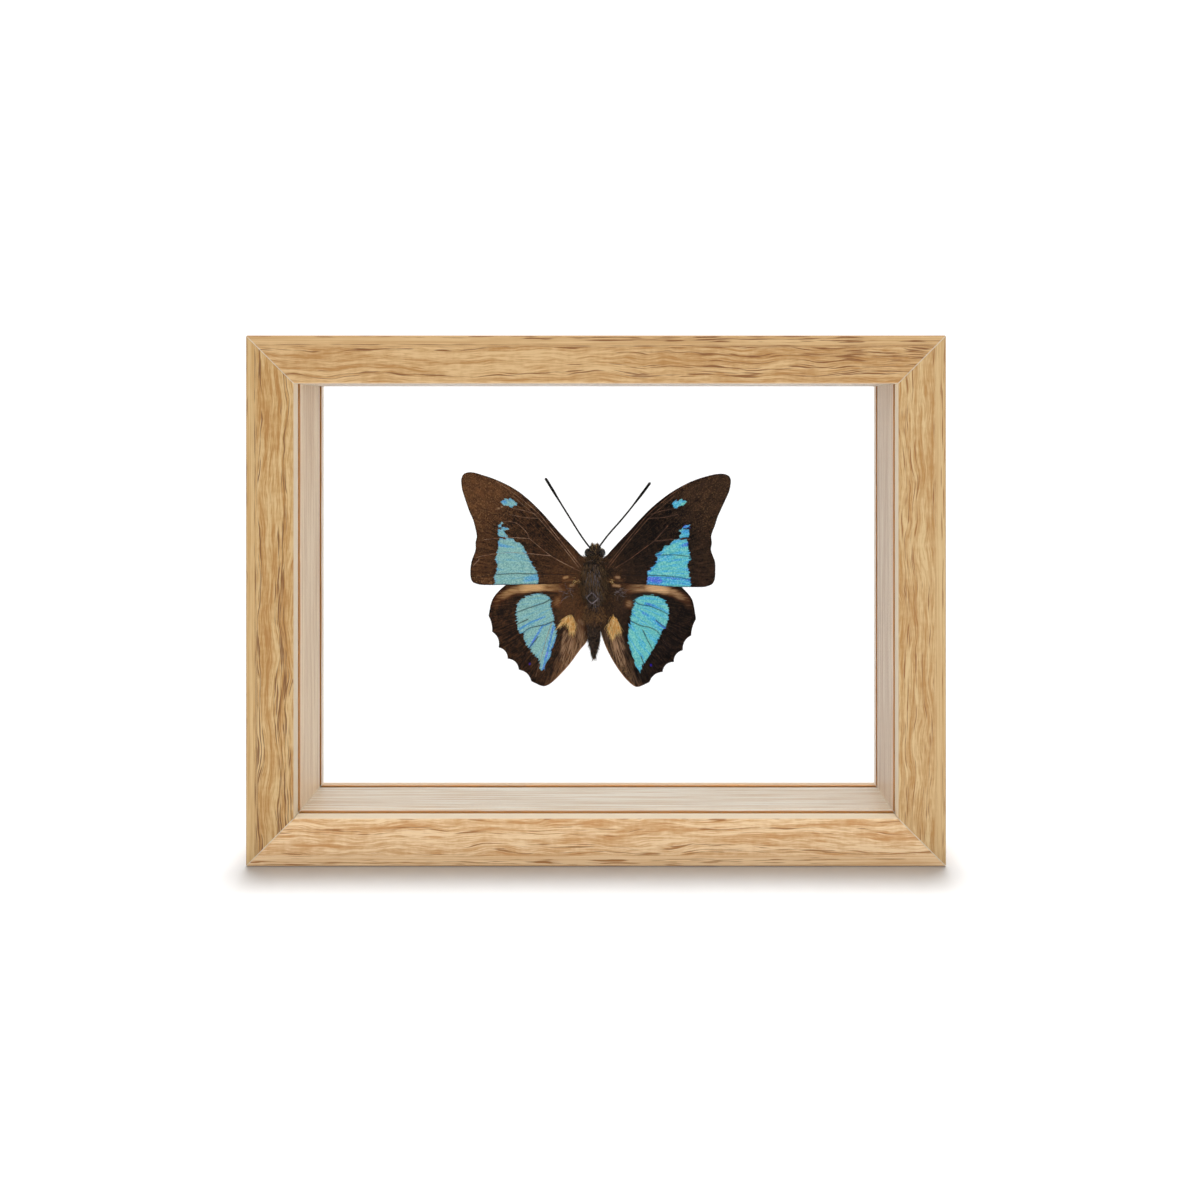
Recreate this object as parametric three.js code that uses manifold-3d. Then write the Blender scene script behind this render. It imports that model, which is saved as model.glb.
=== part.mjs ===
// A butterfly specimen, spread between two panes of glass in a mitred oak frame.
// Millimetres, +Z up. The frame stands on its bottom rail and its front faces -Y.
// The origin is the middle of the underside.

import * as THREE from 'three';
import { mergeVertices } from 'three/addons/utils/BufferGeometryUtils.js';
import Module from 'manifold-3d';

const wasm = await Module();
wasm.setup();

// Frame
const FRAME_WIDTH = 211;
const FRAME_HEIGHT = 160;
const FRAME_DEPTH = 32;
const RAIL_FACE = 14.45;
const EDGE_RADIUS = 0.6;
const MITRE_SETBACK = 0.21; // each mitred end, measured along the rail

// Panes and the kerfs that hold them, with Y measured from the middle of the frame's depth
const GLASS_THICKNESS = 2;
const FRONT_GLASS_Y = -10.7;
const BACK_GLASS_Y = 11.6;
const KERF_WIDTH = 2.3;
const KERF_DEPTH = 2.8;
const GLASS_IN_KERF = 2.4;

// Specimen: its own origin lies on the body's middle line, level with the wing roots
const SPECIMEN_X = -1.3;
const SPECIMEN_Z = 80;
const PIECE_GAP = 0.3;

// Wings: plates that bulge towards the front, the forewing lying over the hindwing
const WING_THICKNESS = 0.4;
const WING_STRIP = 2.8; // a wing bends from one strip to the next along its span
const FOREWING_Y = 3.2;
const FOREWING_BULGE = 0.8;
const FOREWING_SPAN = 43;
const HINDWING_Y = 4.5;
const HINDWING_BULGE = 0.6;
const HINDWING_SPAN = 34;
const INNER_FOLD_WIDTH = 7; // the hindwing's inner edge curls back round the abdomen
const INNER_FOLD_DEPTH = 2.2;

// Body
const BODY_Y = 4.9;
const THORAX_DEPTH_RATIO = 0.96; // front to back, against side to side
const ABDOMEN_DEPTH_RATIO = 1.05;
const BODY_SIDES = 24;
const LIMB_SIDES = 8;
const LEG_RADIUS = 0.32;
const LEG_TAPER = 0.45;
const LEG_STEPS = 12;
const ANTENNA_STEPS = 16;
const ANTENNA_RADIUS = 0.18;
const ANTENNA_CLUB_RADIUS = 0.3;
const GLUE_RADIUS = 1.9;
const GLUE_LENGTH = 3; // before the thorax is cut out of it
const GLUE_Z = 5;

const oak = new THREE.MeshStandardMaterial({ color: 0xcfa77c, roughness: 0.6 });
const glass = new THREE.MeshStandardMaterial({ color: 0xeef4f2, roughness: 0.05, transparent: true, opacity: 0.25 });
const wingScale = new THREE.MeshStandardMaterial({ color: 0x35241b, roughness: 0.7 });
const bodyFur = new THREE.MeshStandardMaterial({ color: 0x2b201a, roughness: 0.9 });
const chitin = new THREE.MeshStandardMaterial({ color: 0x1a1412, roughness: 0.45 });
const silicone = new THREE.MeshStandardMaterial({ color: 0xe6e6e0, roughness: 0.3, transparent: true, opacity: 0.6 });

function toSolid(geometry) {
  const bare = geometry.clone();
  bare.deleteAttribute('normal');
  bare.deleteAttribute('uv');
  const merged = mergeVertices(bare);
  return new wasm.Manifold(new wasm.Mesh({
    numProp: 3,
    vertProperties: new Float32Array(merged.attributes.position.array),
    triVerts: new Uint32Array(merged.index.array),
  }));
}

function toGeometry(solid) {
  const { vertProperties, triVerts } = solid.getMesh();
  const geometry = new THREE.BufferGeometry();
  geometry.setAttribute('position', new THREE.BufferAttribute(new Float32Array(vertProperties), 3));
  geometry.setIndex(new THREE.BufferAttribute(new Uint32Array(triVerts), 1));
  geometry.computeVertexNormals();
  return geometry;
}

function piece(name, geometry, material) {
  const mesh = new THREE.Mesh(geometry, material);
  mesh.name = name;
  return mesh;
}

function moveVertices(geometry, move) {
  const position = geometry.attributes.position;
  const point = new THREE.Vector3();
  for (let i = 0; i < position.count; i += 1) {
    point.fromBufferAttribute(position, i);
    move(point);
    position.setXYZ(i, point.x, point.y, point.z);
  }
  return geometry;
}

// Frame mouldings: a section with x as depth and y as the way in from the outer edge
function railSection() {
  const back = FRAME_DEPTH / 2;
  const r = EDGE_RADIUS;
  const section = new THREE.Shape();
  section.absarc(-back + r, r, r, Math.PI, 1.5 * Math.PI);
  section.absarc(back - r, r, r, -0.5 * Math.PI, 0);
  section.absarc(back - r, RAIL_FACE - r, r, 0, 0.5 * Math.PI);
  for (const kerfY of [BACK_GLASS_Y, FRONT_GLASS_Y]) {
    section.lineTo(kerfY + KERF_WIDTH / 2, RAIL_FACE);
    section.lineTo(kerfY + KERF_WIDTH / 2, RAIL_FACE - KERF_DEPTH);
    section.lineTo(kerfY - KERF_WIDTH / 2, RAIL_FACE - KERF_DEPTH);
    section.lineTo(kerfY - KERF_WIDTH / 2, RAIL_FACE);
  }
  section.absarc(-back + r, RAIL_FACE - r, r, 0.5 * Math.PI, Math.PI);
  return section;
}

// The section runs along X from mitre to mitre, with its outer edge at z = 0
function rail(name, length) {
  const bar = new THREE.ExtrudeGeometry(railSection(), { depth: length, bevelEnabled: false, curveSegments: 4 });
  moveVertices(bar, (point) => {
    const [depth, inward, along] = point.toArray();
    const reach = length / 2 - inward - MITRE_SETBACK;
    point.set(along > 0 ? reach : -reach, depth, inward);
  });
  bar.computeVertexNormals();
  return piece(name, bar, oak);
}

function makeFrame() {
  const frame = new THREE.Group();

  const bottom = rail('frame_bottom_rail', FRAME_WIDTH);

  const top = rail('frame_top_rail', FRAME_WIDTH);
  top.rotation.y = Math.PI;
  top.position.z = FRAME_HEIGHT;

  const left = rail('frame_left_stile', FRAME_HEIGHT);
  left.rotation.y = Math.PI / 2;
  left.position.set(-FRAME_WIDTH / 2, 0, FRAME_HEIGHT / 2);

  const right = rail('frame_right_stile', FRAME_HEIGHT);
  right.rotation.y = -Math.PI / 2;
  right.position.set(FRAME_WIDTH / 2, 0, FRAME_HEIGHT / 2);

  frame.add(bottom, top, left, right);
  return frame;
}

function makePane(name, y) {
  const inset = 2 * (RAIL_FACE - GLASS_IN_KERF);
  const sheet = new THREE.BoxGeometry(FRAME_WIDTH - inset, GLASS_THICKNESS, FRAME_HEIGHT - inset);
  const pane = piece(name, sheet, glass);
  pane.position.set(0, y, FRAME_HEIGHT / 2);
  return pane;
}

// Wing outlines, as [outward from the middle line, upward], one set for each side.
// A forewing runs from its root along the front edge to the tip, down the outer edge
// and back along the hind edge.
const FOREWINGS = {
  right: {
    frontEdge: [[2.6, 9], [5.1, 12.3], [11.5, 19.2], [17.9, 26], [24.4, 31.2], [30.8, 34.7],
      [37.2, 36.8], [41, 37.3], [43.1, 36.6], [43.8, 35.1], [43.3, 31.8]],
    outerEdge: [[43.3, 31.8], [41.8, 28.4], [39.6, 23.6], [38.7, 20.8], [37.5, 17.4], [37.7, 15.2],
      [37.4, 12.9], [38.7, 9.3], [38.8, 6.4], [38.6, 3.6], [37.7, 2], [35.2, 1.2]],
    hindEdge: [[35.2, 1.2], [27.9, 1.2], [22, 1.5], [16.2, 2], [8.3, 2.6], [2.9, 3.2]],
  },
  left: {
    frontEdge: [[2.6, 9], [4.5, 11.7], [10.9, 18.6], [17.3, 25.8], [23.7, 31.5], [30.1, 35],
      [35.8, 37], [39.3, 37.8], [41.5, 37.2], [42.3, 35.4], [42, 32.2]],
    outerEdge: [[42, 32.2], [41.2, 29.6], [39.6, 25.1], [38.5, 22.6], [37.5, 18.8], [37.3, 17.3],
      [37.7, 15.4], [37.7, 13.1], [39, 9.2], [39.3, 4.4], [38.5, 2.7], [36, 1.9]],
    hindEdge: [[36, 1.9], [28.2, 1.9], [18.3, 2.1], [10.9, 2.4], [2.9, 3.2]],
  },
};

// A hindwing runs from its root along the edge that the forewing covers, round the shoulder,
// from tooth to tooth, and round the tail lobe up to the body.
const HINDWINGS = {
  right: {
    frontEdge: [[2.6, 1.3], [8.3, 4.2], [17.9, 4.8], [25, 3.2], [29.3, -0.2], [31.4, -2.9],
      [32.2, -5.8], [32.7, -9.4]],
    teeth: [[32.7, -9.4], [31.2, -14.6], [28.5, -19.3], [25.6, -23], [22, -26.2], [17.8, -29.4]],
    innerEdge: [[17.8, -29.4], [15.5, -30.5], [13.5, -31], [11.1, -29.3], [8.1, -25.7], [5.3, -21.3],
      [3.1, -16.6], [2.1, -12.8], [1.9, -4.5]],
  },
  left: {
    frontEdge: [[2.6, 1.3], [8.3, 4.2], [17.9, 4.8], [25.6, 3.2], [30.1, 0], [32.4, -2.9],
      [33.3, -5.8], [33.7, -8.4]],
    teeth: [[33.7, -8.4], [32.6, -13.4], [30.5, -18.4], [27.6, -22], [24, -25.5], [20, -29.1]],
    innerEdge: [[20, -29.1], [17.9, -30.2], [15.8, -30.7], [13.5, -29.6], [10.4, -26.7], [7.2, -23],
      [4.2, -19], [2.3, -16.8], [1.8, -15.2], [2, -12.6], [1.6, -4.5]],
  },
};
const TOOTH_HOLLOWS = [0.35, 0.9, 0.9, 1, 0.85]; // depth of the margin between two teeth
const HOLLOW_STEPS = 6;
const OUTLINE_STEPS = 2;

function smoothLine(points) {
  const curve = new THREE.CatmullRomCurve3(points.map(([x, y]) => new THREE.Vector3(x, y, 0)), false, 'centripetal');
  return curve.getPoints(OUTLINE_STEPS * (points.length - 1)).map(({ x, y }) => [x, y]);
}

// A shallow curve from one tooth to the next, hollow towards the middle of the wing
function hollowLine([x0, y0], [x1, y1], depth) {
  const length = Math.hypot(x1 - x0, y1 - y0);
  const inward = [(y1 - y0) / length, -(x1 - x0) / length];
  const line = [];
  for (let i = 1; i <= HOLLOW_STEPS; i += 1) {
    const t = i / HOLLOW_STEPS;
    const sag = depth * 4 * t * (1 - t);
    line.push([x0 + (x1 - x0) * t + inward[0] * sag, y0 + (y1 - y0) * t + inward[1] * sag]);
  }
  return line;
}

function forewingOutline({ frontEdge, outerEdge, hindEdge }) {
  return [...smoothLine(frontEdge), ...smoothLine(outerEdge).slice(1), ...smoothLine(hindEdge).slice(1)];
}

function hindwingOutline({ frontEdge, teeth, innerEdge }) {
  const margin = teeth.slice(1).flatMap((tooth, i) => hollowLine(teeth[i], tooth, TOOTH_HOLLOWS[i]));
  return [...smoothLine(frontEdge), ...margin, ...smoothLine(innerEdge).slice(1)];
}

function forewingHeight(outward) {
  const across = THREE.MathUtils.clamp(outward / FOREWING_SPAN, 0, 1);
  return FOREWING_Y - FOREWING_BULGE * Math.sin(Math.PI * across);
}

function hindwingHeight(outward) {
  const across = THREE.MathUtils.clamp(outward / HINDWING_SPAN, 0, 1);
  const curl = Math.max(0, 1 - outward / INNER_FOLD_WIDTH);
  return HINDWING_Y - HINDWING_BULGE * Math.sin(Math.PI * across) + INNER_FOLD_DEPTH * curl ** 2;
}

// A slab in upright strips, bent to the wing's height and cut to the outline
function wingPlate(outline, heightAt, side) {
  const outer = new THREE.Shape(outline.map(([x, y]) => new THREE.Vector2(side * x, y)));
  const { min, max } = new THREE.Box2().setFromPoints(outer.getPoints());
  const width = max.x - min.x + 2;
  const height = max.y - min.y + 2;
  const slab = new THREE.BoxGeometry(width, WING_THICKNESS, height, Math.ceil(width / WING_STRIP), 1, 1);
  slab.translate((min.x + max.x) / 2, 0, (min.y + max.y) / 2);
  moveVertices(slab, (point) => {
    point.y += heightAt(Math.abs(point.x));
  });
  const cutter = new THREE.ExtrudeGeometry(outer, { depth: FRAME_DEPTH, bevelEnabled: false });
  cutter.rotateX(Math.PI / 2);
  cutter.translate(0, FRAME_DEPTH / 2, 0);
  return toSolid(slab).intersect(toSolid(cutter));
}

// A round body segment: a profile of [radius, height], wider or flatter from front to back
function bodySegment(profile, depthRatio, grow = 0) {
  const low = profile[0][1];
  const high = profile[profile.length - 1][1];
  const middle = (low + high) / 2;
  const stretch = 1 + (2 * grow) / (high - low);
  const points = profile.map(([r, z]) => new THREE.Vector2(r > 0 ? r + grow : 0, middle + (z - middle) * stretch));
  const segment = new THREE.LatheGeometry(points, BODY_SIDES);
  segment.rotateX(Math.PI / 2);
  segment.scale(1, depthRatio, 1);
  segment.translate(0, BODY_Y, 0);
  return toSolid(segment);
}

const THORAX_PROFILE = [[0, -4.4], [1.7, -4], [2.7, -2.6], [3.5, 0], [4, 3.4], [4.1, 6.2],
  [3.5, 8.6], [2.2, 10], [0, 10.5]];
const ABDOMEN_PROFILE = [[0, -22.4], [0.5, -21.8], [0.85, -20], [1.4, -18], [1.75, -15.6], [1.95, -12.6],
  [2.3, -9.6], [2.5, -7], [2.2, -5.2], [0, -4.8]];
const HEAD_PROFILE = [[0, 10.9], [1.6, 11.1], [2.4, 12], [2.3, 13], [1.5, 13.9], [0, 14.2]];
const HEAD_DEPTH_RATIO = 0.9;
const HEAD_X = 0.35; // the head sits a little to the right of the body's middle line

function ellipsoid(halfWidth, halfDepth, halfHeight, x, y, z) {
  const ball = new THREE.SphereGeometry(1, 16, 10);
  ball.scale(halfWidth, halfDepth, halfHeight);
  ball.translate(x, y, z);
  return toSolid(ball);
}

// A limb of changing thickness along a curve, closed at both ends
function limb(points, radiusAt, steps) {
  const curve = new THREE.CatmullRomCurve3(points.map((p) => new THREE.Vector3(...p)), false, 'centripetal');
  const frames = curve.computeFrenetFrames(steps);
  const rod = new THREE.CylinderGeometry(1, 1, 1, LIMB_SIDES, steps);
  moveVertices(rod, (point) => {
    const t = 0.5 - point.y;
    const i = Math.round(t * steps);
    const radius = radiusAt(t);
    const [x, z] = [point.x * radius, point.z * radius];
    point.copy(curve.getPointAt(t));
    point.addScaledVector(frames.normals[i], x);
    point.addScaledVector(frames.binormals[i], z);
  });
  const solid = toSolid(rod);
  return solid.volume() > 0 ? solid : toSolid(turnInsideOut(rod));
}

function turnInsideOut(geometry) {
  const index = geometry.index.array;
  for (let i = 0; i < index.length; i += 3) {
    [index[i], index[i + 1]] = [index[i + 1], index[i]];
  }
  return geometry;
}

const PALP_RADIUS = 0.42;
const SCUTELLUM = { halfWidth: 1.9, halfDepth: 1.2, halfHeight: 1.8, z: -2.3, rise: 2.4 };
const EYE = { halfWidth: 1.2, halfDepth: 1.6, halfHeight: 1.45, x: 2.2, y: 4.5, z: 11.9 };

const ANTENNAE = {
  right: [[1.4, 13.4], [2.1, 14.4], [4.6, 17.7], [9.9, 23.8], [15.3, 30.7], [18.1, 34.5]],
  left: [[1, 13.4], [1.7, 14.2], [3.9, 17.2], [8.5, 24.5], [13, 31.8], [15.5, 35.9]],
};
const ANTENNA_Y = 3.6;
const CLUB_START = 0.62;

const LEG_ROUTES = {
  middle: [[2.3, 8.2, 3], [5.2, 8.1, 5.2], [4.3, 9.2, -0.5], [5.3, 9.6, -5]],
  hind: [[2.1, 7.9, -0.4], [4.9, 8.2, -2.6], [3.1, 9.2, -8.4], [3.8, 9.6, -13.2]],
};
const SIDES = { left: -1, right: 1 };

function makeHead() {
  const skull = bodySegment(HEAD_PROFILE, HEAD_DEPTH_RATIO);
  const palps = Object.values(SIDES).map((side) => limb(
    [[side * 0.5, BODY_Y - 1, 12.8], [side * 0.75, BODY_Y - 1.3, 13.8], [side * 0.85, BODY_Y - 1.2, 14.9]],
    (t) => PALP_RADIUS * (1 - 0.6 * t * t),
    5,
  ));
  return palps.reduce((head, palp) => head.add(palp), skull).translate([HEAD_X, 0, 0]);
}

function makeThorax(grow = 0) {
  const { halfWidth, halfDepth, halfHeight, z, rise } = SCUTELLUM;
  return bodySegment(THORAX_PROFILE, THORAX_DEPTH_RATIO, grow)
    .add(ellipsoid(halfWidth + grow, halfDepth + grow, halfHeight + grow, 0, BODY_Y - rise, z));
}

function makeEye(side, grow = 0) {
  const { halfWidth, halfDepth, halfHeight, x, y, z } = EYE;
  return ellipsoid(halfWidth + grow, halfDepth + grow, halfHeight + grow, HEAD_X + side * x, y, z);
}

function makeAntenna(route, side) {
  const points = route.map(([x, z]) => [side * x, ANTENNA_Y, z]);
  const radiusAt = (t) => {
    const club = THREE.MathUtils.smoothstep(t, CLUB_START, 0.85);
    return ANTENNA_RADIUS + (ANTENNA_CLUB_RADIUS - ANTENNA_RADIUS) * club;
  };
  return limb(points, radiusAt, ANTENNA_STEPS);
}

function makeLeg(route, side) {
  return limb(route.map(([x, y, z]) => [side * x, y, z]), (t) => LEG_RADIUS * (1 - LEG_TAPER * t), LEG_STEPS);
}

function makeGlue(thoraxRoom) {
  const glassFace = BACK_GLASS_Y - GLASS_THICKNESS / 2 - PIECE_GAP;
  const blob = new THREE.CylinderGeometry(GLUE_RADIUS, GLUE_RADIUS * 0.8, GLUE_LENGTH, BODY_SIDES);
  blob.translate(0, glassFace - GLUE_LENGTH / 2, GLUE_Z);
  return toSolid(blob).subtract(thoraxRoom);
}

function makeSpecimen() {
  const specimen = new THREE.Group();
  specimen.position.set(SPECIMEN_X, 0, SPECIMEN_Z);
  const add = (name, solid, material) => specimen.add(piece(name, toGeometry(solid), material));

  const thoraxRoom = makeThorax(PIECE_GAP);
  const abdomenRoom = bodySegment(ABDOMEN_PROFILE, ABDOMEN_DEPTH_RATIO, PIECE_GAP);
  const bodyRoom = thoraxRoom.add(abdomenRoom);
  const eyeRoom = makeEye(SIDES.left, PIECE_GAP).add(makeEye(SIDES.right, PIECE_GAP));

  add('head', makeHead().subtract(thoraxRoom).subtract(eyeRoom), bodyFur);
  add('thorax', makeThorax(), bodyFur);
  add('abdomen', bodySegment(ABDOMEN_PROFILE, ABDOMEN_DEPTH_RATIO).subtract(thoraxRoom), bodyFur);
  add('glue_dot', makeGlue(thoraxRoom), silicone);

  const headRoom = bodySegment(HEAD_PROFILE, HEAD_DEPTH_RATIO, PIECE_GAP).translate([HEAD_X, 0, 0]);
  for (const [sideName, side] of Object.entries(SIDES)) {
    const forewing = wingPlate(forewingOutline(FOREWINGS[sideName]), forewingHeight, side);
    const hindwing = wingPlate(hindwingOutline(HINDWINGS[sideName]), hindwingHeight, side);
    add(`eye_${sideName}`, makeEye(side).subtract(thoraxRoom), chitin);
    add(`forewing_${sideName}`, forewing.subtract(bodyRoom), wingScale);
    add(`hindwing_${sideName}`, hindwing.subtract(bodyRoom), wingScale);
    add(`antenna_${sideName}`, makeAntenna(ANTENNAE[sideName], side).subtract(headRoom), chitin);
    for (const [pair, route] of Object.entries(LEG_ROUTES)) {
      add(`leg_${pair}_${sideName}`, makeLeg(route, side).subtract(thoraxRoom), chitin);
    }
  }
  return specimen;
}

const framedButterfly = new THREE.Group();
framedButterfly.add(
  makeFrame(),
  makePane('front_glass', FRONT_GLASS_Y),
  makePane('back_glass', BACK_GLASS_Y),
  makeSpecimen(),
);

export default framedButterfly;
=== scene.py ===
"""Looks of a framed butterfly: an oak frame, two clear panes and the spread specimen between them.

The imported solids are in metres, standing on z = 0 with the frame's front towards -Y.
Sizes in this file are in millimetres unless a name says otherwise. A place on the specimen
is given as (out, up): out from its middle line towards either side, up from its own origin.
"""

import logging
import math
from dataclasses import dataclass, field
from enum import Enum
from functools import partial

import bmesh
import bpy
import numpy as np
from mathutils import Euler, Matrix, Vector
from mathutils.geometry import delaunay_2d_cdt


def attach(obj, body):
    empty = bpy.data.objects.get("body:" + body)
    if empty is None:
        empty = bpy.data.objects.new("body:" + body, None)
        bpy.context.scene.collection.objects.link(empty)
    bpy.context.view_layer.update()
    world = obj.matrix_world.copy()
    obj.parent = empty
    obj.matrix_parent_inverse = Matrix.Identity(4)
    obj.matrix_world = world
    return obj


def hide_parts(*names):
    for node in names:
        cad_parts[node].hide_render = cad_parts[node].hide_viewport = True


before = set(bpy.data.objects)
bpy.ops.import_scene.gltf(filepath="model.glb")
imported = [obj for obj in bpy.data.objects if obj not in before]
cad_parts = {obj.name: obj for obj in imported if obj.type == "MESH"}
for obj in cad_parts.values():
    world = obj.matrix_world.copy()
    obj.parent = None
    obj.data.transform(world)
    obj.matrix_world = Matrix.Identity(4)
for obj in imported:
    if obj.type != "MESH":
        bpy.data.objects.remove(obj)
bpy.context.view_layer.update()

logging.basicConfig(level=logging.INFO, format="%(message)s")
log = logging.getLogger("framed_butterfly")

MM = 0.001
BODY = "root"
Place = tuple[float, float]
Route = list[Place]
Socket = bpy.types.NodeSocket

FRAME_WIDTH = 211.0
FRAME_HEIGHT = 160.0
RAIL_FACE = 14.45  # a rail's width seen from the front
KERF_FACES = (-11.85, -9.55, 10.45, 12.75)  # along Y: both faces of the front kerf, then of the rear one
SPECIMEN_X = -1.3
SPECIMEN_Z = 80.0
FOREWING_Y, FOREWING_BULGE, FOREWING_SPAN = 3.2, 0.8, 43
HINDWING_Y, HINDWING_BULGE, HINDWING_SPAN = 4.5, 0.6, 34
INNER_FOLD_WIDTH, INNER_FOLD_DEPTH = 7, 2.2
FOREWING_ROOT = (2.4, 5.2)
HINDWING_ROOT = (2.6, -1.2)
# The copper paint holds a real red-brown and, where strongest, a painted sheen
PAINTS = ("tone", "speckle", "copper", "pale", "hue", "tan_line", "dark_line", "violet_spot")


class Side(Enum):
    """The two halves of the specimen, as the sign of X."""

    LEFT = -1
    RIGHT = 1

    @property
    def word(self) -> str:
        """The side's name as the solids use it."""
        return self.name.lower()


def linear(hex_colour: str) -> tuple[float, float, float, float]:
    """Turns an sRGB hex value into linear light.

    Args:
        hex_colour: The colour, such as "#c9a26f".

    Returns:
        Red, green, blue and alpha.
    """
    channels = [int(hex_colour[i:i + 2], 16) / 255 for i in (1, 3, 5)]
    lit = [c / 12.92 if c <= 0.04045 else ((c + 0.055) / 1.055) ** 2.4 for c in channels]
    return (lit[0], lit[1], lit[2], 1.0)


def add_node(tree: bpy.types.NodeTree, kind: str, inputs: dict | None = None,
             stops: dict[float, str] | None = None, **settings) -> bpy.types.Node:
    """Adds one node with its settings and links.

    Args:
        tree: The node tree that gets the node.
        kind: Blender's type name of the node.
        inputs: Socket name or number, against a value or the output socket that feeds it.
        stops: For a colour ramp, each stop's place against its sRGB hex colour.
        settings: The node's own properties.

    Returns:
        The new node.
    """
    made = tree.nodes.new(kind)
    for name, value in settings.items():
        setattr(made, name, value)
    if stops:
        ramp = made.color_ramp.elements
        while len(ramp) < len(stops):
            ramp.new(0.5)
        for stop, (place, colour) in zip(ramp, stops.items()):
            stop.position, stop.color = place, linear(colour)
    for socket, value in (inputs or {}).items():
        if isinstance(value, Socket):
            tree.links.new(value, made.inputs[socket])
        else:
            made.inputs[socket].default_value = value
    return made


def bare_material(name: str) -> tuple[bpy.types.Material, bpy.types.NodeTree]:
    """Starts a material with an empty node tree.

    Args:
        name: The finish's name.

    Returns:
        The material and its node tree.
    """
    material = bpy.data.materials.new(name)
    material.use_nodes = True
    material.node_tree.nodes.clear()
    return material, material.node_tree


def show_shader(tree: bpy.types.NodeTree, inputs: dict) -> None:
    """Ends a material in a Principled shader.

    Args:
        tree: The material's node tree.
        inputs: The shader's inputs, as add_node takes them.
    """
    shader = add_node(tree, "ShaderNodeBsdfPrincipled", inputs)
    add_node(tree, "ShaderNodeOutputMaterial", {"Surface": shader.outputs[0]})


def patchy(tree: bpy.types.NodeTree, vector: Socket, steps: tuple[float, float, float], detail: float,
           roughness: float = 0.5) -> Socket:
    """Noise in patches of a given size.

    Args:
        tree: The material's node tree.
        vector: The coordinates that the noise reads.
        steps: Size of one patch along each axis, in the units of the coordinates.
        detail: Octaves.
        roughness: Share of each finer octave.

    Returns:
        The noise value.
    """
    stretched = add_node(tree, "ShaderNodeVectorMath", {0: vector, 1: tuple(1 / step for step in steps)},
                         operation="MULTIPLY")
    noise = add_node(tree, "ShaderNodeTexNoise", {
        "Vector": stretched.outputs[0], "Scale": 1, "Detail": detail, "Roughness": roughness})
    return noise.outputs[0]


def weighted_sum(tree: bpy.types.NodeTree, start: float | Socket,
                 terms: list[tuple[Socket, float | Socket]]) -> Socket:
    """Adds values up, each times its weight.

    Args:
        tree: The material's node tree.
        start: What the sum starts from.
        terms: The values with their weights.

    Returns:
        The sum.
    """
    total = start
    for value, weight in terms:
        total = add_node(tree, "ShaderNodeMath", {0: value, 1: weight, 2: total},
                         operation="MULTIPLY_ADD").outputs[0]
    return total


def layered(tree: bpy.types.NodeTree, ground: Socket | str,
            layers: list[tuple[Socket, Socket | str]]) -> Socket:
    """Lays colours over a ground, one after the other.

    Args:
        tree: The material's node tree.
        ground: The colour below, as a socket or an sRGB hex value.
        layers: For each layer how far it covers, and its colour.

    Returns:
        The colour on top.
    """
    colour = linear(ground) if isinstance(ground, str) else ground
    for cover, above in layers:
        mixed = add_node(tree, "ShaderNodeMix", {
            0: cover, 6: colour, 7: linear(above) if isinstance(above, str) else above}, data_type="RGBA")
        colour = mixed.outputs[2]
    return colour


class RailPlace(Enum):
    """Where a rail lies: the turn about Y that brings its outer edge down, and that edge's place."""

    BOTTOM = (0, 0.0)
    TOP = (180, FRAME_HEIGHT)
    LEFT = (-90, FRAME_WIDTH / 2)
    RIGHT = (90, FRAME_WIDTH / 2)


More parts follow.
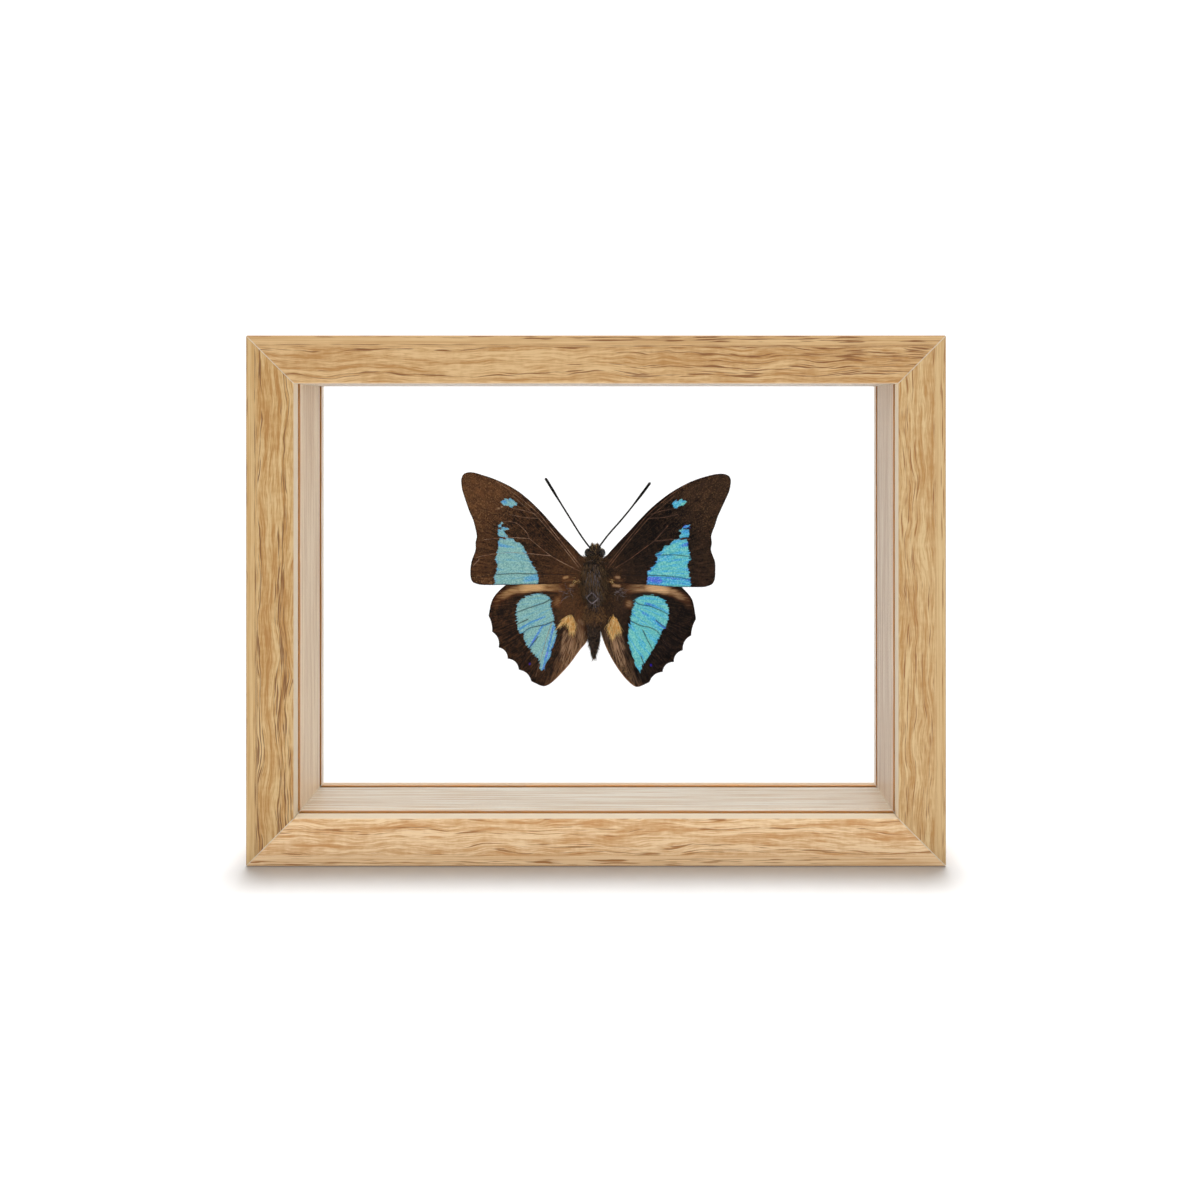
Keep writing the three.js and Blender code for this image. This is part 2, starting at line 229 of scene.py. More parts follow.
@dataclass(frozen=True)
class Oak:
    """Light oak, planed, sanded and left matt: warm tan with dark open pores along the grain.

    To the eye it is dry and even, with a straight pale strip at the rail's outer edge, dark
    dashes 5 to 25 mm long on slightly wavy lines, and hair-fine fibres between them. Painted shade
    darkens the rounded outer edge. The walls towards the opening are painted paler, a painted sheen
    of the grazing light they catch, with an orange-brown seam at each kerf; their lips hold painted
    light and shade.
    """

    name: str
    place: RailPlace
    pale: str
    tan: str
    deep: str
    pore: str
    pore_share: float
    shift: float
    # Painted sheen: the walls' pale ground and their lines stand in for the grazing light they catch
    wall_pale_sheen: str = "#eedcc6"
    wall_line_and_sheen: str = "#d0b296"
    # Painted light: the lips are painted near white for the light on them, and the bottom rail's rear lip
    # darker as painted shade
    lip: str = "#fbe6c6"
    # Painted shade along the rounded outer edge
    edge_shade: str = "#8f5f33"
    seam: str = "#d98f3f"
    back_lip: str = "#f6e6cf"

    def material(self) -> bpy.types.Material:
        """Builds the node material.

        Returns:
            The material for this rail.
        """
        material, tree = bare_material(self.name)
        turn, edge = self.place.value
        coordinates = add_node(tree, "ShaderNodeTexCoord")
        # From here on x runs along the grain, y through the depth and z in from the outer edge, all in mm
        grain = add_node(tree, "ShaderNodeMapping", {
            "Vector": coordinates.outputs["Object"], "Scale": (1000, 1000, 1000),
            "Rotation": (0, math.radians(turn), 0), "Location": (self.shift, 0, edge)}).outputs[0]
        along, through, inward = add_node(tree, "ShaderNodeSeparateXYZ", {0: grain}).outputs
        # The outer strip stays straight, and further in the grain sways by up to 3 mm either way
        sway_vector = add_node(tree, "ShaderNodeVectorMath", {0: grain, 1: (0.045, 0.05, 0.11)},
                               operation="MULTIPLY").outputs[0]
        sway = add_node(tree, "ShaderNodeTexNoise", {
            "Vector": sway_vector, "Scale": 1, "Detail": 2, "Roughness": 0.45}).outputs[0]
        strip = add_node(tree, "ShaderNodeMapRange", {0: inward, 1: 2.4, 2: 3.8},
                         interpolation_type="SMOOTHSTEP").outputs[0]
        sway_size = add_node(tree, "ShaderNodeMapRange", {0: strip, 3: 0.5, 4: 5.6}).outputs[0]
        swayed = weighted_sum(tree, inward, [(sway, sway_size)])
        wood = add_node(tree, "ShaderNodeCombineXYZ", {0: along, 1: through, 2: swayed}).outputs[0]
        figure = partial(patchy, tree, wood)
        board = figure((34, 2.2, 1.3), 3)
        fibre = figure((6, 0.6, 0.3), 3, 0.65)
        dashes = figure((10.5, 0.5, 0.4), 1.5)
        rows = figure((120, 2.5, 1.1), 0)
        flecks = figure((1.9, 2, 3.6), 2, 0.55)
        tone = weighted_sum(tree, -0.575, [(fibre, 1.15), (board, 1), (flecks, 0.24)])
        swaying = add_node(tree, "ShaderNodeValToRGB", {0: tone},
                           stops={0.4: self.deep, 0.6: self.tan, 0.8: self.pale}).outputs[0]
        straight = add_node(tree, "ShaderNodeValToRGB", {0: figure((60, 2, 0.55), 3, 0.6)},
                            stops={0.4: self.tan, 0.56: self.pale}).outputs[0]
        straight_share = add_node(tree, "ShaderNodeMapRange", {0: strip, 3: 0.8, 4: 0}).outputs[0]
        # Pores crowd in rows a millimetre or two apart
        row_gate = add_node(tree, "ShaderNodeMapRange", {0: rows, 1: 0.42, 2: 0.62, 3: -0.16, 4: 0.06})
        pore_value = weighted_sum(tree, row_gate.outputs[0], [(dashes, 1)])
        pores = add_node(tree, "ShaderNodeMapRange", {
            0: pore_value, 1: 0.64 - 0.1 * self.pore_share, 2: 0.74 - 0.1 * self.pore_share, 4: 0.9},
            interpolation_type="SMOOTHSTEP").outputs[0]
        # Painted shade: the rounded outer edge is darkened
        rim = add_node(tree, "ShaderNodeMapRange", {0: inward, 1: 0.1, 2: 0.55, 3: 0.5, 4: 0},
                       interpolation_type="SMOOTHSTEP").outputs[0]
        colour = layered(tree, swaying, [
            (straight_share, straight), (pores, self.pore), (rim, self.edge_shade)])
        # The walls towards the opening: fine pale lines between the kerfs on a ground painted pale as a
        # sheen, and at either end a plain lip whose colour is painted light and shade
        wall = add_node(tree, "ShaderNodeMapRange", {
            0: inward, 1: RAIL_FACE - 0.14, 2: RAIL_FACE - 0.04}).outputs[0]
        wall_with_painted_sheen = add_node(tree, "ShaderNodeValToRGB", {0: figure((50, 0.8, 9), 3, 0.7)},
                               stops={0.4: self.wall_line_and_sheen, 0.6: self.wall_pale_sheen}).outputs[0]
        for face, in_front, lip in ((KERF_FACES[0], 1, self.lip), (KERF_FACES[3], 0, self.back_lip)):
            on_lip = add_node(tree, "ShaderNodeMapRange", {
                0: through, 1: face - 0.2, 2: face + 0.2, 3: in_front, 4: 1 - in_front})
            wall_with_painted_sheen = layered(tree, wall_with_painted_sheen, [(on_lip.outputs[0], lip)])
        colour = layered(tree, colour, [(wall, wall_with_painted_sheen)])
        # The rear half of each kerf and the wood behind it show as an orange-brown seam of uneven width
        near_wall = add_node(tree, "ShaderNodeMath", {0: inward, 1: RAIL_FACE - 4}, operation="GREATER_THAN")
        for kerf_end in KERF_FACES[1::2]:
            away = add_node(tree, "ShaderNodeMath", {0: through, 1: kerf_end - 0.2}, operation="SUBTRACT")
            away = add_node(tree, "ShaderNodeMath", {0: away.outputs[0]}, operation="ABSOLUTE")
            uneven = weighted_sum(tree, away.outputs[0], [(board, -1.6)])
            cover = add_node(tree, "ShaderNodeMapRange", {0: uneven, 1: -0.25, 2: 0.15, 3: 0.95, 4: 0},
                             interpolation_type="SMOOTHSTEP")
            cover = add_node(tree, "ShaderNodeMath", {0: cover.outputs[0], 1: near_wall.outputs[0]},
                             operation="MULTIPLY")
            colour = layered(tree, colour, [(cover.outputs[0], self.seam)])
        roughness = add_node(tree, "ShaderNodeMapRange", {0: wall, 3: 0.6, 4: 0.34})
        bump = add_node(tree, "ShaderNodeBump", {
            "Strength": 0.35, "Distance": 0.08 * MM, "Height": weighted_sum(tree, fibre, [(pores, -1)])})
        show_shader(tree, {"Base Color": colour, "Roughness": roughness.outputs[0], "IOR": 1.5,
                           "Normal": bump.outputs[0]})
        return material


@dataclass(frozen=True)
class WoodGlue:
    """Dried white joiner's glue in the mitres: a thin cream line, duller than the oak beside it."""

    name: str = "dried_white_wood_glue"
    cream: str = "#f0e2cd"
    shade: str = "#dcc7a8"
    patch: float = 1.5

    def material(self) -> bpy.types.Material:
        """Builds the node material.

        Returns:
            The material for the four glue lines.
        """
        material, tree = bare_material(self.name)
        coordinates = add_node(tree, "ShaderNodeTexCoord")
        patches = add_node(tree, "ShaderNodeTexNoise", {"Vector": coordinates.outputs["Object"],
                                                        "Scale": 1 / (self.patch * MM), "Detail": 2})
        colour = layered(tree, self.cream, [(patches.outputs[0], self.shade)])
        show_shader(tree, {"Base Color": colour, "Roughness": 0.7, "IOR": 1.47})
        return material


@dataclass(frozen=True)
class FloatGlass:
    """Clear polished float glass, low in iron: it shows only by its reflections, with no green."""

    name: str = "clear_float_glass"
    tint: str = "#ffffff"

    def material(self) -> bpy.types.Material:
        """Builds the node material.

        Returns:
            The material for both panes.
        """
        material, tree = bare_material(self.name)
        show_shader(tree, {"Base Color": linear(self.tint), "Roughness": 0.0, "IOR": 1.5,
                           "Transmission Weight": 1.0})
        return material


@dataclass(frozen=True)
class WingScales:
    """Dry wing scales: matt brown ground in fine rays from the root, and a satin blue-green band.

    To the eye the brown is almost black in the middle of the wing and tan-speckled towards the
    tip; the band is pale turquoise with a fine grain of single scales and bluer streaks.
    """

    name: str
    dark: str = "#170e0a"
    brown: str = "#694529"
    speck: str = "#84603e"
    teal: str = "#86b6b2"
    azure: str = "#56a6cf"
    deep_blue: str = "#2f7ad6"
    violet: str = "#4a3fe0"
    violet_spot: str = "#2c12b4"
    band_grain: str = "#629091"
    band_glint: str = "#b0d0c8"
    copper_dark: str = "#63371b"
    # Painted sheen: the straw at the copper's strongest middle
    copper_light: str = "#e0b27a"
    pale: str = "#9c795c"
    tan_vein: str = "#a07c66"
    dark_vein: str = "#1d120d"
    hue_streaks: float = 0.24

    def material(self) -> bpy.types.Material:
        """Builds the node material.

        Returns:
            The material for the upper sides of one side's two wings.
        """
        material, tree = bare_material(self.name)
        painted = {name: add_node(tree, "ShaderNodeAttribute", attribute_name=name).outputs["Fac"]
                   for name in (*PAINTS, "blue_mm")}
        rays = add_node(tree, "ShaderNodeUVMap", uv_map="rays").outputs[0]
        coordinates = add_node(tree, "ShaderNodeTexCoord").outputs["Object"]
        noise = partial(patchy, tree, roughness=0.6)
        streaks = noise(rays, (0.32, 5.0, 1), 3)
        teeth = noise(rays, (0.5, 2.4, 1), 3)
        sheen = noise(rays, (0.8, 9.0, 1), 2)
        # Single scales are 0.1 mm wide; patches of them are drawn 0.4 mm wide, or they would not show
        grain = noise(coordinates, (0.42 * MM,) * 3, 2)
        clouds = noise(coordinates, (1.3 * MM,) * 3, 3)
        # The ground runs from dark to brown in streaks along the rays and in single scales
        tone = weighted_sum(tree, painted["tone"], [(streaks, 2.4), (grain, 1.3), (clouds, 1.5)])
        tone = add_node(tree, "ShaderNodeMapRange", {0: tone, 1: 2.55, 2: 4.2}).outputs[0]
        specks = add_node(tree, "ShaderNodeMapRange", {0: grain, 1: 0.53, 2: 0.68},
                          interpolation_type="SMOOTHSTEP").outputs[0]
        specks = add_node(tree, "ShaderNodeMath", {0: specks, 1: painted["speckle"]},
                          operation="MULTIPLY").outputs[0]
        # Copper turns from red-brown to straw where it is painted strongest; the straw middle is a painted
        # sheen
        copper_and_sheen_tone = weighted_sum(tree, -0.5, [(streaks, 1.1), (painted["copper"], 0.8)])
        copper = add_node(tree, "ShaderNodeValToRGB", {0: copper_and_sheen_tone},
                          stops={0.2: self.copper_dark, 0.86: self.copper_light}).outputs[0]
        copper_and_sheen_share = add_node(tree, "ShaderNodeMapRange", {
            0: painted["copper"], 1: 0, 2: 0.55, 4: 0.94}).outputs[0]
        pale_share = add_node(tree, "ShaderNodeMapRange", {
            0: streaks, 1: 0.42, 2: 0.6, 3: 0.05, 4: 1}).outputs[0]
        pale_share = add_node(tree, "ShaderNodeMath", {0: pale_share, 1: painted["pale"]},
                              operation="MULTIPLY").outputs[0]
        # The band: its edge is toothed along the rays, and deeper blue shows where the hue is painted
        hue_shift = add_node(tree, "ShaderNodeMapRange", {
            0: sheen, 1: 0.3, 2: 0.7, 3: -self.hue_streaks, 4: self.hue_streaks}).outputs[0]
        hue = weighted_sum(tree, painted["hue"], [(hue_shift, 1)])
        band = add_node(tree, "ShaderNodeValToRGB", {0: hue}, stops={
            0.1: self.teal, 0.42: self.azure, 0.74: self.deep_blue, 1.0: self.violet}).outputs[0]
        dull_share = add_node(tree, "ShaderNodeMapRange", {
            0: grain, 1: 0.38, 2: 0.54, 3: 0.7, 4: 0}).outputs[0]
        glint_share = add_node(tree, "ShaderNodeMapRange", {
            0: grain, 1: 0.52, 2: 0.64, 3: 0, 4: 0.5}).outputs[0]
        band = layered(tree, band, [(dull_share, self.band_grain), (glint_share, self.band_glint)])
        toothed = weighted_sum(tree, -1.2, [(teeth, 2.4), (painted["blue_mm"], 1)])
        band_share = add_node(tree, "ShaderNodeMapRange", {0: toothed, 1: -0.14, 2: 0.2},
                              interpolation_type="SMOOTHSTEP").outputs[0]
        colour = layered(tree, self.dark, [
            (tone, self.brown), (specks, self.speck), (copper_and_sheen_share, copper), (pale_share, self.pale),
            (band_share, band), (painted["violet_spot"], self.violet_spot),
            (painted["tan_line"], self.tan_vein), (painted["dark_line"], self.dark_vein)])
        roughness = add_node(tree, "ShaderNodeMapRange", {0: band_share, 3: 0.72, 4: 0.5}).outputs[0]
        bump = add_node(tree, "ShaderNodeBump", {"Strength": 0.3, "Distance": 0.05 * MM, "Height": streaks})
        show_shader(tree, {"Base Color": colour, "Roughness": roughness, "IOR": 1.4,
                           "Specular IOR Level": 0.06, "Normal": bump.outputs[0]})
        return material


@dataclass(frozen=True)
class WingUnderside:
    """Underside scales: matt silver-brown in fine rays from the root, with one dark wavy line."""

    name: str = "wing_underside_scales"
    light: str = "#a58d73"
    shade: str = "#7d6650"
    line: str = "#4c3828"

    def material(self) -> bpy.types.Material:
        """Builds the node material.

        Returns:
            The material for all undersides.
        """
        material, tree = bare_material(self.name)
        rays = add_node(tree, "ShaderNodeUVMap", uv_map="rays").outputs[0]
        streaks = patchy(tree, rays, (0.4, 10 / 3, 1), 3)
        mark = add_node(tree, "ShaderNodeAttribute", attribute_name="under_line").outputs["Fac"]
        colour = layered(tree, self.shade, [(streaks, self.light), (mark, self.line)])
        show_shader(tree, {"Base Color": colour, "Roughness": 0.75, "IOR": 1.4})
        return material


@dataclass(frozen=True)
class Speckled:
    """A finish of two colours in fine patches, used for hair, shell, eyes and the glue dot."""

    name: str
    light: str
    dark: str
    patch: float
    roughness: float
    relief: float = 0.0
    transmission: float = 0.0
    stretch: tuple[float, float, float] = (1, 1, 1)
    line: str | None = None
    shine: float = 0.12

    def material(self) -> bpy.types.Material:
        """Builds the node material.

        Returns:
            The material for this finish.
        """
        material, tree = bare_material(self.name)
        coordinates = add_node(tree, "ShaderNodeTexCoord").outputs["Object"]
        patches = patchy(tree, coordinates, tuple(self.patch * MM * s for s in self.stretch), 2)
        share = add_node(tree, "ShaderNodeMapRange", {0: patches, 1: 0.36, 2: 0.64}).outputs[0]
        layers = [(share, self.light)]
        if self.line:
            mark = add_node(tree, "ShaderNodeAttribute", attribute_name="pale_line")
            layers.append((mark.outputs["Fac"], self.line))
        inputs = {"Base Color": layered(tree, self.dark, layers), "Roughness": self.roughness, "IOR": 1.5,
                  "Specular IOR Level": self.shine, "Transmission Weight": self.transmission}
        if self.relief:
            inputs["Normal"] = add_node(tree, "ShaderNodeBump", {
                "Strength": 0.6, "Distance": self.relief * MM, "Height": patches}).outputs[0]
        show_shader(tree, inputs)
        return material


class Hair(Enum):
    """Kinds of hair on the specimen. All of it is fine and dull, and only its colour differs."""

    THORAX = Speckled("thorax_hair_umber", "#836443", "#130d09", 0.42, 0.7, stretch=(1, 1, 5))
    ABDOMEN = Speckled("abdomen_hair_umber", "#654d3b", "#1c1410", 0.6, 0.7)
    HEAD = Speckled("head_hair_umber", "#70583c", "#1c140e", 0.6, 0.7)
    WAIST = Speckled("waist_hair_brown", "#9c7148", "#33231a", 0.7, 0.7)
    OLIVE = Speckled("shoulder_hair_olive", "#6b5434", "#241a12", 0.6, 0.7)
    BASE = Speckled("wing_base_hair_brown", "#74502f", "#20150e", 0.8, 0.7)
    GREY = Speckled("lengthwise_hair_grey", "#a39a9e", "#4a4046", 0.5, 0.55, stretch=(1, 1, 5))
    GOLD = Speckled("tuft_hair_straw_gold", "#ffe2a0", "#dc9c48", 0.4, 0.5, stretch=(1, 1, 3))


# Dry cuticle under the hair: dull and nearly black, with a pale rim round the scutellum
BODY_SHELL = Speckled("body_shell_dark_umber", "#3a2c22", "#17100c", 0.7, 0.7, relief=0.06, line="#958a90")
# The legs' cuticle is smoother and browner, with a soft gloss
LEG_SHELL = Speckled("leg_shell_brown", "#3c2a1e", "#1a120d", 0.5, 0.42, relief=0.02, shine=0.4)
# Antennae are black and matt, so that only their outline shows
ANTENNA_SHELL = Speckled("antenna_shell_black", "#1c1512", "#0b0807", 0.3, 0.45, relief=0.01)
# Facets are far too fine to show: an eye is a brown-black gloss with a pale rim
EYE_SHELL = Speckled("eye_facets_brown_black", "#352a20", "#0e0a08", 0.9, 0.25, relief=0.02,
                     line="#a99680", shine=0.5)
# Cured silicone is see-through, a little milky and smooth
GLUE_SILICONE = Speckled("clear_silicone_dot", "#f4f4ef", "#e6e8e2", 0.8, 0.12, transmission=0.9, shine=0.5)
# Veins are bare cuticle: tan or rust where the scales have worn off, otherwise dark brown
VEIN_TAN = Speckled("vein_shell_tan", "#b08c70", "#6b4a36", 1.6, 0.5)
VEIN_RUST = Speckled("vein_shell_rust", "#8f6044", "#402519", 1.6, 0.5)
VEIN_DARK = Speckled("vein_shell_dark_brown", "#36211a", "#150d0a", 1.6, 0.5)


def in_scene(name: str, data: bpy.types.ID) -> bpy.types.Object:
    """Makes an object at the origin and links it to the scene.

    Args:
        name: The object's name.
        data: Its mesh, light or camera.

    Returns:
        The object.
    """
    made = bpy.data.objects.new(name, data)
    bpy.context.scene.collection.objects.link(made)
    return made


def make_object(name: str, points: np.ndarray, faces: list, materials: list) -> bpy.types.Object:
    """Makes a mesh object at the origin.

    Args:
        name: The piece's name.
        points: Vertex places in metres.
        faces: Vertex numbers of each face.
        materials: Its materials, in slot order.

    Returns:
        The object.
    """
    mesh = bpy.data.meshes.new(name)
    mesh.from_pydata([tuple(map(float, p)) for p in points], [], faces)
    for material in materials:
        mesh.materials.append(material)
    return in_scene(name, mesh)


def bake(made: bpy.types.Object) -> bpy.types.Object:
    """Turns an object's modifiers into its own plain mesh and removes them.

    Args:
        made: The object.

    Returns:
        The same object.
    """
    depsgraph = bpy.context.evaluated_depsgraph_get()
    evaluated = made.evaluated_get(depsgraph)
    mesh = bpy.data.meshes.new_from_object(evaluated, preserve_all_data_layers=True, depsgraph=depsgraph)
    made.modifiers.clear()
    old = made.data
    made.data = mesh
    mesh.name = made.name
    if old.users == 0:
        bpy.data.meshes.remove(old)
    return made


def shade_smooth(made: bpy.types.Object) -> None:
    """Makes every face smooth-shaded."""
    made.data.polygons.foreach_set("use_smooth", [True] * len(made.data.polygons))


def paint(made: bpy.types.Object, name: str, values: np.ndarray) -> None:
    """Stores one number for each vertex as a named attribute."""
    layer = made.data.attributes.new(name, "FLOAT", "POINT")
    layer.data.foreach_set("value", values.astype(np.float32))


def vertex_values(made: bpy.types.Object, name: str = "co") -> np.ndarray:
    """Reads a vector of every vertex.

    Args:
        made: The object.
        name: The vector, "co" for the place in metres or "normal".

    Returns:
        The vectors as rows.
    """
    values = np.zeros(len(made.data.vertices) * 3)
    made.data.vertices.foreach_get(name, values)
    return values.reshape(-1, 3)


def place_in_frame(made: bpy.types.Object, slot: str, *nodes: str) -> bpy.types.Object:
    """Hands a finished piece to the frame.

    Args:
        made: The piece.
        slot: Not used.
        nodes: The solids that it stands for.

    Returns:
        The same piece.
    """
    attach(made, BODY)
    if nodes:
        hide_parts(*nodes)
    log.info("%s: %d faces", made.name, len(made.data.polygons))
    return made


def near_route(points: np.ndarray, route: Route) -> tuple[np.ndarray, np.ndarray]:
    """Distance of points to a route, and how far along it the nearest place is.

    Args:
        points: Places as rows of (out, up).
        route: The route's places.

    Returns:
        Distances, and shares of the route's length from 0 to 1.
    """
    stations = np.array(route, float)
    lengths = np.linalg.norm(np.diff(stations, axis=0), axis=1)
    starts = np.concatenate([[0], np.cumsum(lengths)])
    best = np.full(len(points), 1e9)
    along = np.zeros(len(points))
    for start, end, length, before in zip(stations, stations[1:], lengths, starts):
        share = np.clip(((points - start) @ (end - start)) / max(length ** 2, 1e-12), 0, 1)
        gap = np.linalg.norm(points - (start + share[:, None] * (end - start)), axis=1)
        nearer = gap < best
        best = np.where(nearer, gap, best)
        along = np.where(nearer, (before + share * length) / starts[-1], along)
    return best, along


def inside_outline(points: np.ndarray, outline: Route) -> np.ndarray:
    """Signed distance of points to a closed outline.

    Args:
        points: Places as rows of (out, up).
        outline: The outline's corners.

    Returns:
        Distances, positive inside the outline.
    """
    gap, _ = near_route(points, outline + outline[:1])
    corners = np.array(outline, float)
    odd = np.zeros(len(points), bool)
    for (x0, y0), (x1, y1) in zip(corners, np.roll(corners, -1, axis=0)):
        crosses = (y0 > points[:, 1]) != (y1 > points[:, 1])
        with np.errstate(divide="ignore", invalid="ignore"):
            odd ^= crosses & (points[:, 0] < (x1 - x0) * (points[:, 1] - y0) / (y1 - y0) + x0)
    return np.where(odd, gap, -gap)


def soft_step(values: np.ndarray, low: float, high: float) -> np.ndarray:
    """Smooth rise from 0 at low to 1 at high."""
    share = np.clip((values - low) / (high - low), 0, 1)
    return share * share * (3 - 2 * share)


def smooth_route(route: Route, step: float, closed: bool = False, corner: float = 42.0) -> np.ndarray:
    """A curve through a route's places, even steps apart, with sharp corners kept.

    Args:
        route: The places to pass through.
        step: Distance between the curve's points.
        closed: True if the last place joins the first.
        corner: Turns sharper than this many degrees stay corners.

    Returns:
        The curve's points as rows.
    """
    places = [np.array(p, float) for p in route]
    count = len(places)
    spans = count if closed else count - 1

    def turn(i: int) -> float:
        """The turn at a place.

        Args:
            i: The place's number.

        Returns:
            The turn in degrees.
        """
        before = places[i] - places[(i - 1) % count]
        after = places[(i + 1) % count] - places[i]
        cosine = before @ after / (np.linalg.norm(before) * np.linalg.norm(after) + 1e-12)
        return math.degrees(math.acos(max(-1.0, min(1.0, cosine))))

    sharp = [turn(i) > corner if closed or 0 < i < count - 1 else True for i in range(count)]
    line = []
    for i in range(spans):
        p1, p2 = places[i], places[(i + 1) % count]
        p0 = 2 * p1 - p2 if sharp[i] else places[(i - 1) % count]
        p3 = 2 * p2 - p1 if sharp[(i + 1) % count] else places[(i + 2) % count]
        knots = np.cumsum([0] + [max(np.linalg.norm(b - a), 1e-6) ** 0.5
                                 for a, b in ((p0, p1), (p1, p2), (p2, p3))])
        steps = max(1, round(np.linalg.norm(p2 - p1) / step))
        for t in np.linspace(knots[1], knots[2], steps, endpoint=False):
            a = [(knots[j + 1] - t) / (knots[j + 1] - knots[j]) * (p0, p1, p2)[j]
                 + (t - knots[j]) / (knots[j + 1] - knots[j]) * (p1, p2, p3)[j] for j in range(3)]
            b = [(knots[j + 2] - t) / (knots[j + 2] - knots[j]) * a[j]
                 + (t - knots[j]) / (knots[j + 2] - knots[j]) * a[j + 1] for j in range(2)]
            line.append((knots[2] - t) / (knots[2] - knots[1]) * b[0]
                        + (t - knots[1]) / (knots[2] - knots[1]) * b[1])
    if not closed:
        line.append(places[-1])
    return np.array(line)


@dataclass(frozen=True)
class Stroke:
    """One soft-edged line or patch painted on a wing.

    It fades out over the width fade beside it, gets narrower by the share taper towards its end,
    and fades in and out over the length ends.
    """

    paint: str
    route: Route
    half_width: float
    fade: float = 0.25
    strength: float = 1.0
    taper: float = 0.0
    ends: float = 0.0

    def cover(self, points: np.ndarray) -> np.ndarray:
        """How strongly the stroke covers each place.

        Args:
            points: Places as rows of (out, up).

        Returns:
            Cover from 0 to the stroke's strength.
        """
        gap, along = near_route(points, self.route)
        half = self.half_width * (1 - self.taper * along)
        cover = self.strength * soft_step(-gap, -(half + self.fade), -half)
        if self.ends:
            length = sum(math.dist(a, b) for a, b in zip(self.route, self.route[1:]))
            cover = cover * soft_step(np.minimum(along, 1 - along) * length, 0, self.ends)
        return cover


@dataclass(frozen=True)
class Vein:
    """One raised vein: its route, its thickness at the start, and whether its shell is pale."""

    route: Route
    pale: bool = False
    radius: float = 0.065


@dataclass(frozen=True)
class WingPattern:
    """What one wing's upper side shows: the blue band's fields, veins and painted strokes."""

    bands: list[Route]
    veins: list[Vein]
    strokes: list[Stroke] = field(default_factory=list)
    tuft: Route | None = None
    tuft_root: Place = (0, 0)


# The strands close behind a forewing's front edge
COSTAL_VEINS = [
    Vein([(3.8, 7.4), (9.3, 14.4), (13.1, 19.2), (17.3, 24.4), (20.5, 27.2), (23.7, 29.8), (27.6, 32.7),
          (31.1, 34.9)], True, 0.07),
    Vein([(4.6, 7.2), (10.0, 14.2), (14.1, 19.2), (18.3, 23.9), (22.0, 27.0), (25.6, 30.2)], True, 0.06),
    Vein([(18.3, 24.4), (22.1, 25.6), (26.3, 26.4)], True, 0.045),
    Vein([(17.3, 23.1), (22.1, 23.4), (26.9, 24.4)], True, 0.045),
]

LEFT_FOREWING = WingPattern(
    bands=[
        [(29.8, 28.2), (28.8, 29.0), (27.2, 29.3), (25.6, 29.0), (24.2, 28.2), (24.7, 27.2), (26.6, 26.7),
         (28.5, 27.2)],
        [(30.6, 20.2), (30.3, 21.3), (29.2, 21.9), (28.7, 21.5), (29.6, 20.7), (30.1, 19.9)],
        [(30.5, 19.7), (28.5, 20.1), (26.5, 20.0), (27.2, 19.5), (28.4, 19.2), (28.3, 18.3), (27.6, 17.4),
         (29.2, 17.2), (30.4, 17.5)],
        [(30.1, 16.7), (27.9, 16.8), (25.5, 16.6), (24.7, 15.7), (23.1, 14.9), (22.3, 13.8), (21.5, 12.8),
         (21.0, 11.4), (20.0, 9.3), (19.1, 7.7), (18.1, 6.4), (17.7, 4.5), (17.8, 1.8), (31.7, 1.8),
         (31.6, 3.5), (31.6, 4.8), (30.9, 6.4), (30.8, 8.3), (31.2, 10.3), (30.9, 11.9), (30.7, 13.5),
         (30.3, 15.1)],
    ],
    veins=[
        *COSTAL_VEINS,
        Vein([(3.5, 5.8), (9.9, 9.0), (13.5, 11.1), (17.0, 13.8), (20.5, 16.7)], True, 0.085),
        Vein([(20.5, 16.7), (21.1, 18.3), (22.8, 20.2), (24.4, 21.5), (26.3, 22.1), (28.5, 22.1)],
             True, 0.06),
        Vein([(20.5, 16.7), (26.3, 17.0), (30.1, 16.8), (34.9, 16.3)], True),
        Vein([(13.8, 11.2), (20.5, 11.9), (25.3, 12.2), (30.1, 12.0), (35.0, 11.2), (37.4, 10.6)], True),
        Vein([(6.1, 5.1), (18.3, 5.4), (25.3, 5.6), (31.7, 5.1), (37.2, 4.2)], False),
    ],
    strokes=[
        Stroke("copper", [(8.4, 4.4), (9.4, 4.1)], 0.05, 0.9, 0.6),
        Stroke("copper", [(5.0, 2.9), (9.0, 2.9)], 0.2, 1.6, 0.3),
        Stroke("speckle", [(30.5, 2.9), (37.6, 3.2)], 0.5, 0.8, 1.0),
        Stroke("speckle", [(32.0, 5.4), (38.0, 4.4)], 0.2, 0.6, 0.8),
        Stroke("tan_line", [(38.4, 8.0), (36.6, 9.9)], 0.05, 0.15, 0.6),
        Stroke("pale", [(30.8, 26.1), (30.0, 26.3), (29.2, 26.8)], 0.1, 0.3),
        Stroke("hue", [(18.0, 4.6), (21.5, 3.6)], 0.2, 1.6, 0.5),
        Stroke("hue", [(30.4, 14.4), (23.0, 14.0)], 0.1, 0.6, 0.44),
        Stroke("hue", [(24.0, 14.6), (20.6, 11.0), (18.6, 7.0)], 0.1, 0.6, 0.42),
        Stroke("hue", [(30.0, 28.2), (28.6, 28.2)], 0.3, 1.5, 0.52),
        Stroke("hue", [(30.3, 21.0), (28.0, 19.8)], 0.3, 1.0, 0.42),
    ],
)

